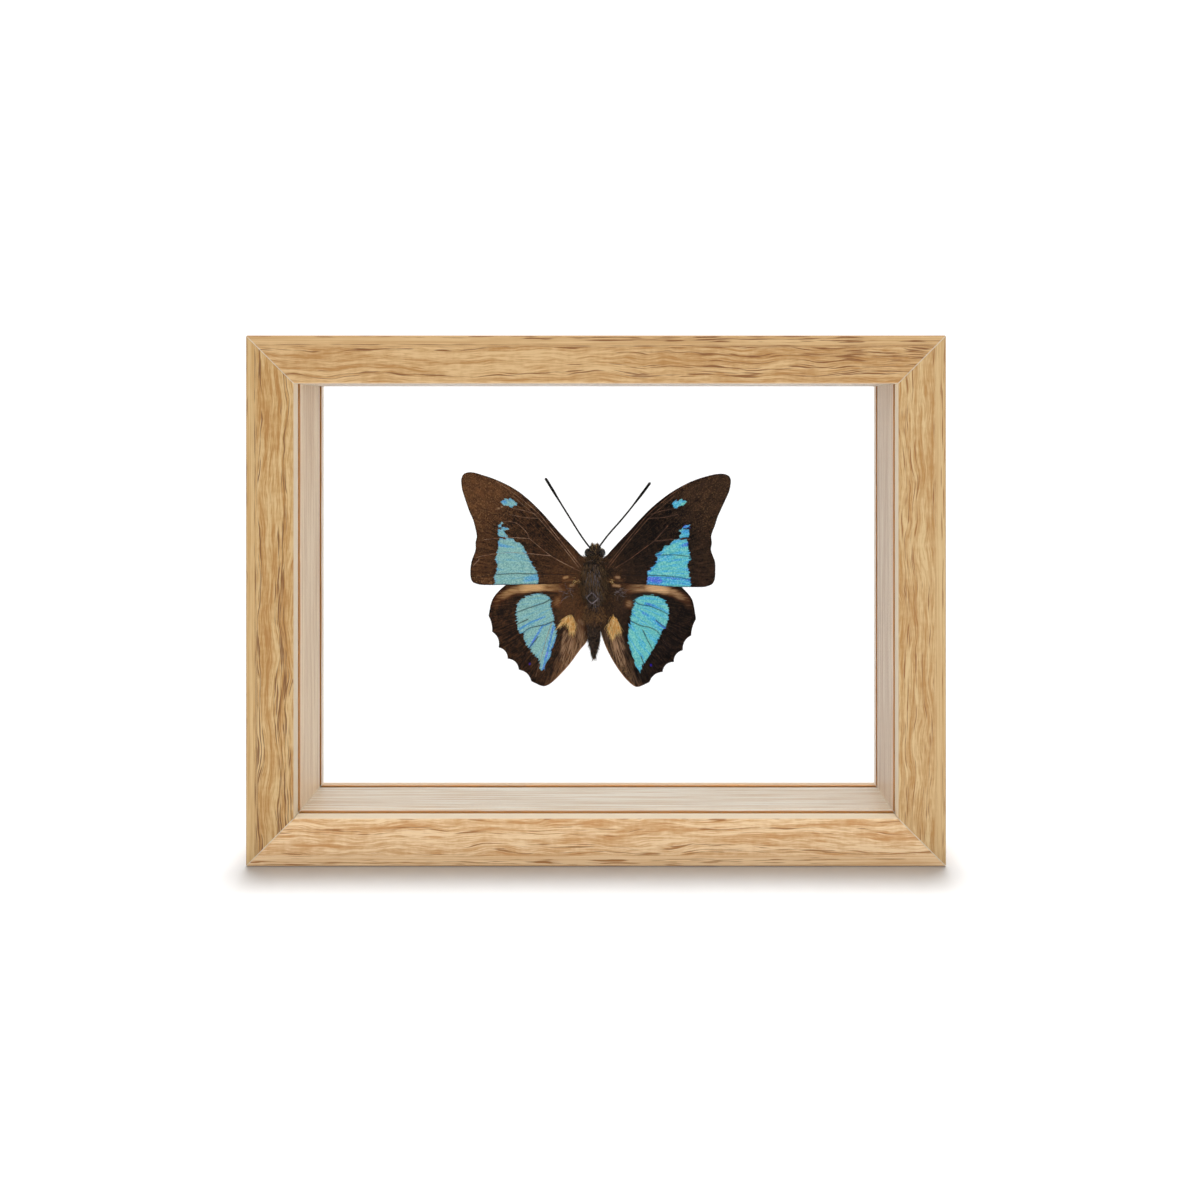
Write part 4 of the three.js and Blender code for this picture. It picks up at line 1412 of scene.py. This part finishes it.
    def tuft(self, tree: bpy.types.NodeTree, wing: bpy.types.Object) -> list[bpy.types.Object]:
        """Grows the hair at the wing's root and, on a hindwing, the straw-gold tuft.

        Args:
            tree: The fur tree.
            wing: The finished wing.

        Returns:
            The pieces.
        """
        spots = vertex_values(wing) / MM
        points = np.stack([self.side.value * (spots[:, 0] - SPECIMEN_X), spots[:, 2] - SPECIMEN_Z], axis=1)
        front = spots[:, 1] < self.height(points) + self.sheet / 2
        out = points - self.root
        base = {"Density": 8e6, "Length": 1.5 * MM, "Thickness": 0.09 * MM, "Lift": 0.25, "Spread": 0.4,
                "Bend": 0.25, "Seed": 5}
        near_root = soft_step(-np.linalg.norm(out, axis=1), -7.5, -2.5) * front
        patches = [("base_hair", Hair.BASE, near_root, out, base)]
        if self.pattern.tuft:
            curls = soft_step(-np.linalg.norm(points - self.curls, axis=1), -2.2, -0.8) * front
            patches.append(("grey_curls", Hair.GREY, curls, out, {
                **base, "Density": 3.6e6, "Length": 2.4 * MM, "Lift": 0.4, "Spread": 0.8, "Bend": 0.9,
                "Seed": 13}))
            # The outline is that of the whole tuft, so both a hair's root and its tip lie inside it
            way = points - self.pattern.tuft_root
            tips = points + self.tuft_reach * way / np.maximum(np.linalg.norm(way, axis=1), 1e-6)[:, None]
            inside = np.minimum(*(inside_outline(spot, self.pattern.tuft) for spot in (points, tips)))
            patches.append(("gold_tuft", Hair.GOLD, soft_step(inside, -0.1, 0.35) * front, way, {
                "Density": 40e6, "Length": 1.9 * MM, "Thickness": 0.13 * MM, "Lift": 0.12, "Spread": 0.15,
                "Bend": 0.1, "Seed": 9}))
        else:
            cluster = soft_step(-np.linalg.norm(points - self.cluster, axis=1), -1.3, -0.4) * front
            patches.append(("gold_hair", Hair.GOLD, cluster, out, {
                **base, "Density": 12e6, "Length": 1.2 * MM, "Seed": 11}))
        return [self.comb_and_grow(tree, wing, *patch) for patch in patches]

    def comb_and_grow(self, tree: bpy.types.NodeTree, wing: bpy.types.Object, word: str, hair: Hair,
                      coat: np.ndarray, way: np.ndarray, values: dict) -> bpy.types.Object:
        """Grows one patch of hair.

        Args:
            tree: The fur tree.
            wing: The surface.
            word: What the patch is called.
            hair: The kind of hair.
            coat: How thick it stands at each vertex.
            way: Where it leans at each vertex, as (out, up).
            values: The tree's inputs.

        Returns:
            The patch.
        """
        way = way / np.maximum(np.linalg.norm(way, axis=1), 1e-6)[:, None]
        comb = np.stack([self.side.value * way[:, 0], np.zeros(len(way)), way[:, 1]], axis=1)
        set_fur(wing, coat, comb)
        return grow(wing, tree, f"{self.node}_{word}", {**values, "Material": HAIR[hair]})


def set_fur(made: bpy.types.Object, coat: np.ndarray, comb: np.ndarray) -> None:
    """Stores where hair stands and which way it leans, for the fur tree.

    Args:
        made: The surface.
        coat: How thick the hair stands at each vertex, from 0 to about 1.
        comb: The way it leans at each vertex.
    """
    for name in ("coat", "comb"):
        old = made.data.attributes.get(name)
        if old:
            made.data.attributes.remove(old)
    paint(made, "coat", coat)
    layer = made.data.attributes.new("comb", "FLOAT_VECTOR", "POINT")
    layer.data.foreach_set("vector", comb.astype(np.float32).ravel())


UNDERSIDE = WingUnderside().material()
HAIR = {kind: kind.value.material() for kind in Hair}


@dataclass
class Trunk:
    """Head, eyes, thorax and abdomen: the solids' own shapes, made even, rounded and given hair."""

    voxel: float = 0.24
    eye_voxel: float = 0.14
    swell: float = 0.17
    ring_pitch: float = 2.1
    ring_depth: float = 0.12
    neck: Place = (8.4, 10.2)  # heights between which the thorax' hair turns upwards
    waist: Place = (1.6, 3.6)  # depths below the origin between which it starts to hang over the abdomen
    groove_depth: float = 0.18
    scutellum: Route = field(default_factory=lambda: [(-2.3, -2.3), (-0.5, -0.4), (1.4, -2.3), (-0.5, -3.9)])

    def part(self, node: str, finish: Speckled, voxel: float, rounds: int) -> bpy.types.Object:
        """Makes a rounded copy of a solid.

        Args:
            node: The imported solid.
            finish: Its shell.
            voxel: Grid of the remesh.
            rounds: How often the surface is smoothed.

        Returns:
            The copy, under the node's name with _shell.
        """
        made = in_scene(node + "_shell", solid_copy(node))
        made.data.materials.clear()
        remesh = made.modifiers.new("even", "REMESH")
        remesh.mode = "VOXEL"
        remesh.voxel_size = voxel * MM
        rounding = made.modifiers.new("round", "SMOOTH")
        rounding.factor = 0.5
        rounding.iterations = rounds
        bake(made)
        made.data.materials.append(finish.material())
        shade_smooth(made)
        return made

    def places(self, made: bpy.types.Object) -> np.ndarray:
        """The vertices of a piece in millimetres, measured from the specimen's origin."""
        return vertex_values(made) / MM - (SPECIMEN_X, 0, SPECIMEN_Z)

    def press(self, made: bpy.types.Object, depth: np.ndarray) -> None:
        """Moves each vertex along its normal.

        Args:
            made: The piece.
            depth: How far outwards at each vertex, in millimetres.
        """
        moved = vertex_values(made) + vertex_values(made, "normal") * depth[:, None] * MM
        made.data.vertices.foreach_set("co", moved.ravel())
        made.data.update()

    def thorax(self, fur: bpy.types.NodeTree) -> None:
        """Builds the thorax with its pale-edged scutellum and lengthwise hair.

        Args:
            fur: The fur tree.
        """
        made = self.part("thorax", BODY_SHELL, self.voxel, 6)
        spots = self.places(made)
        flat = spots[:, [0, 2]]
        gap, _ = near_route(flat, self.scutellum + self.scutellum[:1])
        front = soft_step(-spots[:, 1], -4.6, -3.2)
        paint(made, "pale_line", 0.65 * front * soft_step(-gap, -0.26, -0.06))
        groove = np.exp(-(spots[:, 0] / 0.3) ** 2) * front * soft_step(spots[:, 2], 0, 2)
        self.press(made, self.swell - self.groove_depth * groove + 0.12 * ripples(flat, 2.2, 21))
        # Hair lies down the back; at the neck it stands up round the head and at the waist it hangs over
        neck = soft_step(spots[:, 2], *self.neck)
        waist = soft_step(-spots[:, 2], *self.waist)
        comb = np.stack([(0.05 + 0.3 * neck) * spots[:, 0], 0 * neck, 1.2 * neck - 1], axis=1)
        over = np.maximum(*(inside_outline(flat - (0, lift), self.scutellum) for lift in (0, 0.9)))
        clear = soft_step(-over, 0.0, 0.35) * front + (1 - front)
        coat = {"Length": 1.9 * MM, "Thickness": 0.13 * MM, "Lift": 0.28, "Spread": 0.24, "Bend": 0.2}
        pieces = [made]
        for word, hair, where, values in (
                ("hair", Hair.THORAX, clear, {"Density": 9e6, "Seed": 2}),
                ("grey_hair", Hair.GREY,
                 clear * front * (1 - neck) * soft_step(-abs(spots[:, 0]), -3.0, -1.0),
                 {"Density": 2.6e6, "Length": 2.7 * MM, "Thickness": 0.105 * MM, "Lift": 0.1, "Spread": 0.12,
                  "Seed": 4}),
                ("collar_hair", Hair.HEAD, np.maximum(neck, waist * clear),
                 {"Density": 9e6, "Length": 1.1 * MM, "Lift": 0.3, "Seed": 6}),
                ("shoulder_hair", Hair.OLIVE, soft_step(abs(spots[:, 0]), 2.2, 3.4),
                 {"Density": 5e6, "Length": 2.3 * MM, "Lift": 0.4, "Spread": 0.4, "Seed": 8})):
            set_fur(made, where, comb)
            pieces.append(grow(made, fur, f"thorax_{word}", {**coat, **values, "Material": HAIR[hair]}))
        for piece in pieces:
            place_in_frame(piece, "body_hair", *(["thorax"] if piece is made else []))

    def abdomen(self, fur: bpy.types.NodeTree) -> None:
        """Builds the ringed abdomen with short hair.

        Args:
            fur: The fur tree.
        """
        made = self.part("abdomen", BODY_SHELL, self.voxel, 4)
        spots = self.places(made)
        phase = spots[:, 2] / self.ring_pitch
        ring = np.abs(phase - np.round(phase)) * 2
        rings = -self.ring_depth * soft_step(-ring, -0.35, 0.0)
        waist = soft_step(spots[:, 2], -12, -7)
        self.press(made, self.swell * (1 + waist) + rings + 0.05 * ripples(spots[:, [0, 2]], 1.6, 8))
        coat = {"Density": 11e6, "Length": 1.15 * MM, "Thickness": 0.12 * MM, "Lift": 0.32, "Spread": 0.34,
                "Bend": 0.2, "Seed": 12, "Material": HAIR[Hair.ABDOMEN]}
        down = np.tile((0.0, 0.0, -1.0), (len(spots), 1))
        set_fur(made, 0.7 + 0.5 * waist, down)
        hair = grow(made, fur, "abdomen_hair", coat)
        # Where it meets the thorax, longer hair stands out to both sides like a skirt
        flare = np.stack([0.24 * spots[:, 0], 0 * waist, -np.ones(len(spots))], axis=1)
        set_fur(made, soft_step(spots[:, 2], -10.2, -8.4), flare)
        skirt = grow(made, fur, "abdomen_skirt", {**coat, "Density": 12e6, "Length": 2.5 * MM, "Seed": 15,
                                                  "Material": HAIR[Hair.WAIST]})
        place_in_frame(made, "body_hair", "abdomen")
        for piece in (hair, skirt):
            place_in_frame(piece, "body_hair")

    def head(self, fur: bpy.types.NodeTree) -> None:
        """Builds the head, its palps and both eyes.

        Args:
            fur: The fur tree.
        """
        made = self.part("head", BODY_SHELL, self.eye_voxel, 2)
        spots = self.places(made)
        self.press(made, np.full(len(spots), self.swell))
        up = np.tile((0.0, -0.25, 1.0), (len(spots), 1))
        middle = soft_step(-abs(spots[:, 0] - spots[:, 0].mean()), -1.5, -0.9)
        set_fur(made, middle, up)
        coat = {"Thickness": 0.1 * MM, "Lift": 0.5, "Spread": 0.4, "Bend": 0.2}
        hair = grow(made, fur, "head_hair", {**coat, "Density": 12e6, "Length": 0.6 * MM, "Seed": 3,
                                             "Material": HAIR[Hair.HEAD]})
        gold = grow(made, fur, "head_gold_scales", {**coat, "Density": 2.2e6, "Length": 0.55 * MM, "Seed": 7,
                                                    "Material": HAIR[Hair.GOLD]})
        place_in_frame(made, "body_hair", "head")
        place_in_frame(hair, "body_hair")
        place_in_frame(gold, "body_hair")
        for side in Side:
            eye = self.part(f"eye_{side.word}", EYE_SHELL, self.eye_voxel, 3)
            ball = self.places(eye)
            from_middle = np.linalg.norm((ball - (ball.min(0) + ball.max(0)) / 2)[:, [0, 2]], axis=1)
            paint(eye, "pale_line", 0.7 * soft_step(from_middle / from_middle.max(), 0.84, 0.96))
            place_in_frame(eye, "chitin", f"eye_{side.word}")


@dataclass
class Limbs:
    """Antennae and legs, along the same routes as their solids."""

    antenna_y: float = 3.6
    antenna_radius: float = 0.28
    club_radius: float = 0.44
    club_start: float = 0.62
    club_end: float = 0.85
    segments: int = 46
    leg_radius: float = 0.32
    leg_taper: float = 0.45
    knee_swell: float = 0.12
    antennae: dict = field(default_factory=lambda: {
        Side.RIGHT: [(1.4, 13.4), (2.1, 14.4), (4.6, 17.7), (9.9, 23.8), (15.3, 30.7), (18.1, 34.5)],
        Side.LEFT: [(1.0, 13.4), (1.7, 14.2), (3.9, 17.2), (8.5, 24.5), (13.0, 31.8), (15.5, 35.9)]})
    legs: dict = field(default_factory=lambda: {
        "middle": [(2.3, 8.2, 3.0), (5.2, 8.1, 5.2), (4.3, 9.2, -0.5), (5.3, 9.6, -5.0)],
        "hind": [(2.1, 7.9, -0.4), (4.9, 8.2, -2.6), (3.1, 9.2, -8.4), (3.8, 9.6, -13.2)]})

    def antenna(self, side: Side, tree: bpy.types.NodeTree) -> None:
        """Builds one antenna: a thin ringed shaft with a long slender club.

        Args:
            side: The side it stands on.
            tree: The limb tree.
        """
        route = smooth_route(self.antennae[side], 0.12)
        share = np.linspace(0, 1, len(route))
        club = soft_step(share, self.club_start, self.club_end)
        radii = self.antenna_radius + (self.club_radius - self.antenna_radius) * club
        radii *= 1 - 0.55 * soft_step(share, 0.985, 1.0)
        rings = np.abs((share * self.segments) % 1 - 0.5) * 2
        radii *= 1 - 0.1 * soft_step(rings, 0.75, 1.0)
        points = np.stack([SPECIMEN_X + side.value * route[:, 0], np.full(len(route), self.antenna_y),
                           SPECIMEN_Z + route[:, 1]], axis=1) * MM
        name = f"antenna_{side.word}"
        made = draw_limbs(name + "_ringed", [(points, radii * MM)], tree, ANTENNA_SHELL.material(), 8)
        place_in_frame(made, "chitin", name)

    def leg(self, pair: str, side: Side, tree: bpy.types.NodeTree) -> None:
        """Builds one folded leg with swollen joints and short spines.

        Args:
            pair: Which pair it belongs to.
            side: The side it stands on.
            tree: The limb tree.
        """
        corners = self.legs[pair]
        route = smooth_route(corners, 0.25, corner=179)
        share = np.linspace(0, 1, len(route))
        radii = self.leg_radius * (1 - self.leg_taper * share)
        for corner in corners[1:-1]:
            gap = np.linalg.norm(route - corner, axis=1)
            radii = radii + self.knee_swell * np.exp(-(gap / 0.6) ** 2)
        spots = route * (side.value, 1, 1) + (SPECIMEN_X, 0, SPECIMEN_Z)
        lines = [(spots * MM, radii * MM)]
        random = np.random.default_rng(17)
        for i in range(len(route) // 3, len(route) - 3, 3):
            way = spots[i + 1] - spots[i]
            out = np.cross(way, random.normal(size=3))
            tip = spots[i] + 0.75 * out / np.linalg.norm(out) + 1.3 * way
            spine = np.array([spots[i], (spots[i] + tip) / 2, tip])
            lines.append((spine * MM, np.array([0.06, 0.045, 0.015]) * MM))
        name = f"leg_{pair}_{side.word}"
        made = draw_limbs(name + "_jointed", lines, tree, LEG_SHELL.material(), 8)
        place_in_frame(made, "chitin", name)


@dataclass
class GlueDot:
    """The clear silicone blob between the thorax and the back pane."""

    voxel: float = 0.2

    def build(self) -> None:
        """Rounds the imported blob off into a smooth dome."""
        made = Trunk().part("glue_dot", GLUE_SILICONE, self.voxel, 5)
        place_in_frame(made, "silicone", "glue_dot")


@dataclass
class OakFrame:
    """Four mitred rails with their glue lines, and the two panes."""

    rails: dict = field(default_factory=lambda: {
        "frame_top_rail": Oak(
            "light_oak_top_rail", RailPlace.TOP, pale="#e8c28c", tan="#d3a76f", deep="#c18d50",
            pore="#8a5527", pore_share=0.85, shift=40, wall_pale_sheen="#fff6ea", wall_line_and_sheen="#f0dcc4"),
        "frame_left_stile": Oak(
            "light_oak_left_stile", RailPlace.LEFT, pale="#e4c28b", tan="#cfa264", deep="#bb8646",
            pore="#84552a", pore_share=1.0, shift=260, wall_pale_sheen="#f7e1c2", wall_line_and_sheen="#dcbc98"),
        "frame_right_stile": Oak(
            "light_oak_right_stile", RailPlace.RIGHT, pale="#e8c892", tan="#d5ac74", deep="#c49152",
            pore="#a36b37", pore_share=0.55, shift=470),
        # Its rear lip is painted darker, as shade against the fill light that reaches this rail alone
        "frame_bottom_rail": Oak(
            "light_oak_bottom_rail", RailPlace.BOTTOM, pale="#f8d8ac", tan="#e2b987", deep="#cf985e",
            pore="#a3692f", pore_share=0.7, shift=715, wall_pale_sheen="#fff6e6", wall_line_and_sheen="#e6cdae",
            back_lip="#c0a586")})
    mitre_gap: float = 0.297
    glue_inset: float = 0.05

    def dress(self) -> None:
        """Gives rails and panes their finishes."""
        for node, oak in self.rails.items():
            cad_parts[node].material_slots[0].material = oak.material()
            log.info("%s: %s", node, oak.name)
        glass = FloatGlass().material()
        for node in ("front_glass", "back_glass"):
            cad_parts[node].material_slots[0].material = glass
            log.info("%s: %s", node, glass.name)

    def glue_lines(self) -> None:
        """Fills the four mitre gaps, each from the cut end of a horizontal rail."""
        glue = WoodGlue().material()
        for node in ("frame_bottom_rail", "frame_top_rail"):
            for side in Side:
                mesh = solid_copy(node)
                shape = bmesh.new()
                shape.from_mesh(mesh)
                shape.normal_update()
                other = [f for f in shape.faces if f.normal.x * side.value < 0.5 or abs(f.normal.z) < 0.5]
                bmesh.ops.delete(shape, geom=other, context="FACES")
                shape.faces.ensure_lookup_table()
                way = shape.faces[0].normal.copy()
                middle = sum((v.co for v in shape.verts), Vector()) / len(shape.verts)
                span = max((v.co - middle).length for v in shape.verts)
                for v in shape.verts:
                    v.co += (middle - v.co) * (self.glue_inset * MM / span)
                raised = bmesh.ops.extrude_face_region(shape, geom=list(shape.faces))
                moved = [g for g in raised["geom"] if isinstance(g, bmesh.types.BMVert)]
                bmesh.ops.translate(shape, verts=moved, vec=way * self.mitre_gap * MM)
                bmesh.ops.recalc_face_normals(shape, faces=list(shape.faces))
                shape.to_mesh(mesh)
                shape.free()
                mesh.materials.clear()
                mesh.materials.append(glue)
                word = node.split("_")[1]
                place_in_frame(in_scene(f"mitre_glue_{word}_{side.word}", mesh), "oak")


@dataclass
class Studio:
    """Pale floor, soft light from all round and above, and the camera at the photograph's place."""

    camera_at: tuple[float, float, float] = (9.63, -319.0, 135.1)
    lens: float = 30.2
    shift: Place = (-0.0233, -0.1517)
    floor_size: float = 6000.0
    floor_drop: float = 0.05
    horizon_light: float = 1.0
    zenith_light: float = 0.0
    light_through_panes: float = 2.04
    seen_white: float = 1.26
    front_flag: float = 0.03
    back_flag: float = 0.5
    flag_reach: float = 0.75
    overhead_power: float = 3.2
    overhead_spread: float = 8.2
    overhead_tilt: float = 4.6
    fill_power: float = 1.5
    fill_spread: float = 40.0
    fill_tilt: float = 15.0

    def build(self) -> None:
        """Makes the floor, the lights and the camera."""
        self.floor()
        self.sky()
        self.overhead()
        self.lip_fill()
        self.camera()

    def floor(self) -> None:
        """Lays a pale floor."""
        half = self.floor_size / 2
        corners = np.array([(-half, -half, 0), (half, -half, 0), (half, half, 0), (-half, half, 0)])
        corners[:, 2] = -self.floor_drop
        paper = Speckled("matt_white_floor", "#f6f6f6", "#f4f4f4", 40, 0.9)
        floor = make_object("floor", corners * MM, [[0, 1, 2, 3]], [paper.material()])
        floor.visible_glossy = False
        floor.visible_transmission = False

    def sky(self) -> None:
        """Lights the scene from all round, most from near the horizon.

        The camera sees plain white, past the panes and through them. Mirror reflections in the
        panes see a dark flag in front and a grey one behind, as photographers hang them to keep
        glass clear.
        """
        world = bpy.data.worlds.new("soft_white_tent")
        bpy.context.scene.world = world
        world.use_nodes = True
        tree = world.node_tree
        tree.nodes.clear()
        way = add_node(tree, "ShaderNodeTexCoord").outputs["Generated"]
        parts = add_node(tree, "ShaderNodeSeparateXYZ", {0: way})
        light = add_node(tree, "ShaderNodeMapRange", {0: parts.outputs[2], 3: self.horizon_light,
                                                      4: self.zenith_light})
        path = add_node(tree, "ShaderNodeLightPath")
        unscattered = add_node(tree, "ShaderNodeMath", {0: path.outputs["Diffuse Depth"], 1: 0.5},
                               operation="LESS_THAN")
        straight = add_node(tree, "ShaderNodeMath", {
            0: path.outputs["Is Camera Ray"], 1: path.outputs["Is Transmission Ray"]}, operation="MAXIMUM")
        straight = add_node(tree, "ShaderNodeMath", {0: straight.outputs[0], 1: unscattered.outputs[0]},
                            operation="MULTIPLY")
        strength = add_node(tree, "ShaderNodeMix", {
            0: path.outputs["Is Transmission Ray"], 2: light.outputs[0], 3: self.light_through_panes})
        strength = add_node(tree, "ShaderNodeMix", {0: straight.outputs[0], 2: strength.outputs[0],
                                                    3: self.seen_white})
        reflected = add_node(tree, "ShaderNodeMath", {0: path.outputs["Glossy Depth"], 1: 0.5},
                             operation="GREATER_THAN")
        mirror = add_node(tree, "ShaderNodeMath", {
            0: reflected.outputs[0], 1: path.outputs["Is Singular Ray"]}, operation="MULTIPLY")
        mirror = add_node(tree, "ShaderNodeMath", {0: mirror.outputs[0], 1: unscattered.outputs[0]},
                          operation="MULTIPLY")
        for reach, flag in ((-self.flag_reach, self.front_flag), (self.flag_reach, self.back_flag)):
            flagged = add_node(tree, "ShaderNodeMapRange", {
                0: parts.outputs[1], 1: reach / 2, 2: reach, 3: 0, 4: 1}, interpolation_type="SMOOTHSTEP")
            flagged = add_node(tree, "ShaderNodeMath", {0: flagged.outputs[0], 1: mirror.outputs[0]},
                               operation="MULTIPLY")
            strength = add_node(tree, "ShaderNodeMix", {
                0: flagged.outputs[0], 2: strength.outputs[0], 3: flag})
        shine = add_node(tree, "ShaderNodeBackground", {"Strength": strength.outputs[0],
                                                        "Color": (1, 1, 1, 1)})
        add_node(tree, "ShaderNodeOutputWorld", {"Surface": shine.outputs[0]})

    def sun(self, name: str, power: float, spread: float, tilt: float) -> bpy.types.Object:
        """Hangs a far soft light overhead.

        Args:
            name: The light's name.
            power: Its strength.
            spread: The angle that it fills, in degrees.
            tilt: How far it leans towards the front, in degrees.

        Returns:
            The light.
        """
        data = bpy.data.lights.new(name, "SUN")
        data.energy = power
        data.angle = math.radians(spread)
        light = in_scene(name, data)
        light.rotation_euler = (math.radians(tilt), 0, 0)
        return light

    def overhead(self) -> None:
        """Lights from a little behind the frame, for the short shadow in front."""
        self.sun("overhead_soft_light", self.overhead_power, self.overhead_spread, -self.overhead_tilt)

    def lip_fill(self) -> None:
        """Lights the bottom rail alone, for its front lip, which the top rail keeps in shade."""
        light = self.sun("lip_fill_light", self.fill_power, self.fill_spread, self.fill_tilt)
        lit = bpy.data.collections.new("lip_fill_receivers")
        lit.objects.link(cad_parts["frame_bottom_rail"])
        light.light_linking.receiver_collection = lit

    def camera(self) -> None:
        """Sets the camera up level in front of the frame, a little right of its middle and above it."""
        data = bpy.data.cameras.new("camera")
        data.lens = self.lens
        data.sensor_width = 36
        data.shift_x, data.shift_y = self.shift
        data.clip_start = 0.01
        camera = in_scene("camera", data)
        camera.location = Vector(self.camera_at) * MM
        camera.rotation_euler = Euler((math.radians(90), 0, 0))
        bpy.context.scene.camera = camera


def main() -> None:
    bpy.context.scene.view_settings.view_transform = "Standard"
    Studio().build()
    oak_frame = OakFrame()
    oak_frame.dress()
    oak_frame.glue_lines()
    fur, limbs = fur_tree(), limb_tree()
    left_scales = WingScales("scales_left_wings")
    right_scales = WingScales("scales_right_wings", dark="#130c09", brown="#493222", speck="#6f5433",
                              teal="#6cc4c0", azure="#4bb6e0", band_grain="#4496a6", band_glint="#a0dccc",
                              copper_dark="#63391f", copper_light="#e6ba88", hue_streaks=0.5)
    wings = [
        Wing(Side.LEFT, "forewing", LEFT_FOREWING, left_scales, FOREWING_ROOT),
        Wing(Side.RIGHT, "forewing", RIGHT_FOREWING, right_scales, FOREWING_ROOT),
        Wing(Side.LEFT, "hindwing", LEFT_HINDWING, left_scales, HINDWING_ROOT),
        Wing(Side.RIGHT, "hindwing", RIGHT_HINDWING, right_scales, HINDWING_ROOT),
    ]
    for wing in wings:
        sheet = wing.surface()
        hair = wing.tuft(fur, sheet)
        for piece in wing.veins(limbs):
            place_in_frame(piece, "wing_scales")
        for piece in hair:
            place_in_frame(piece, "body_hair")
        place_in_frame(sheet, "wing_scales", wing.node)
    trunk = Trunk()
    trunk.thorax(fur)
    trunk.abdomen(fur)
    trunk.head(fur)
    legs_and_antennae = Limbs()
    for side in Side:
        legs_and_antennae.antenna(side, limbs)
        for pair in legs_and_antennae.legs:
            legs_and_antennae.leg(pair, side, limbs)
    GlueDot().build()


if __name__ == "__main__":
    main()
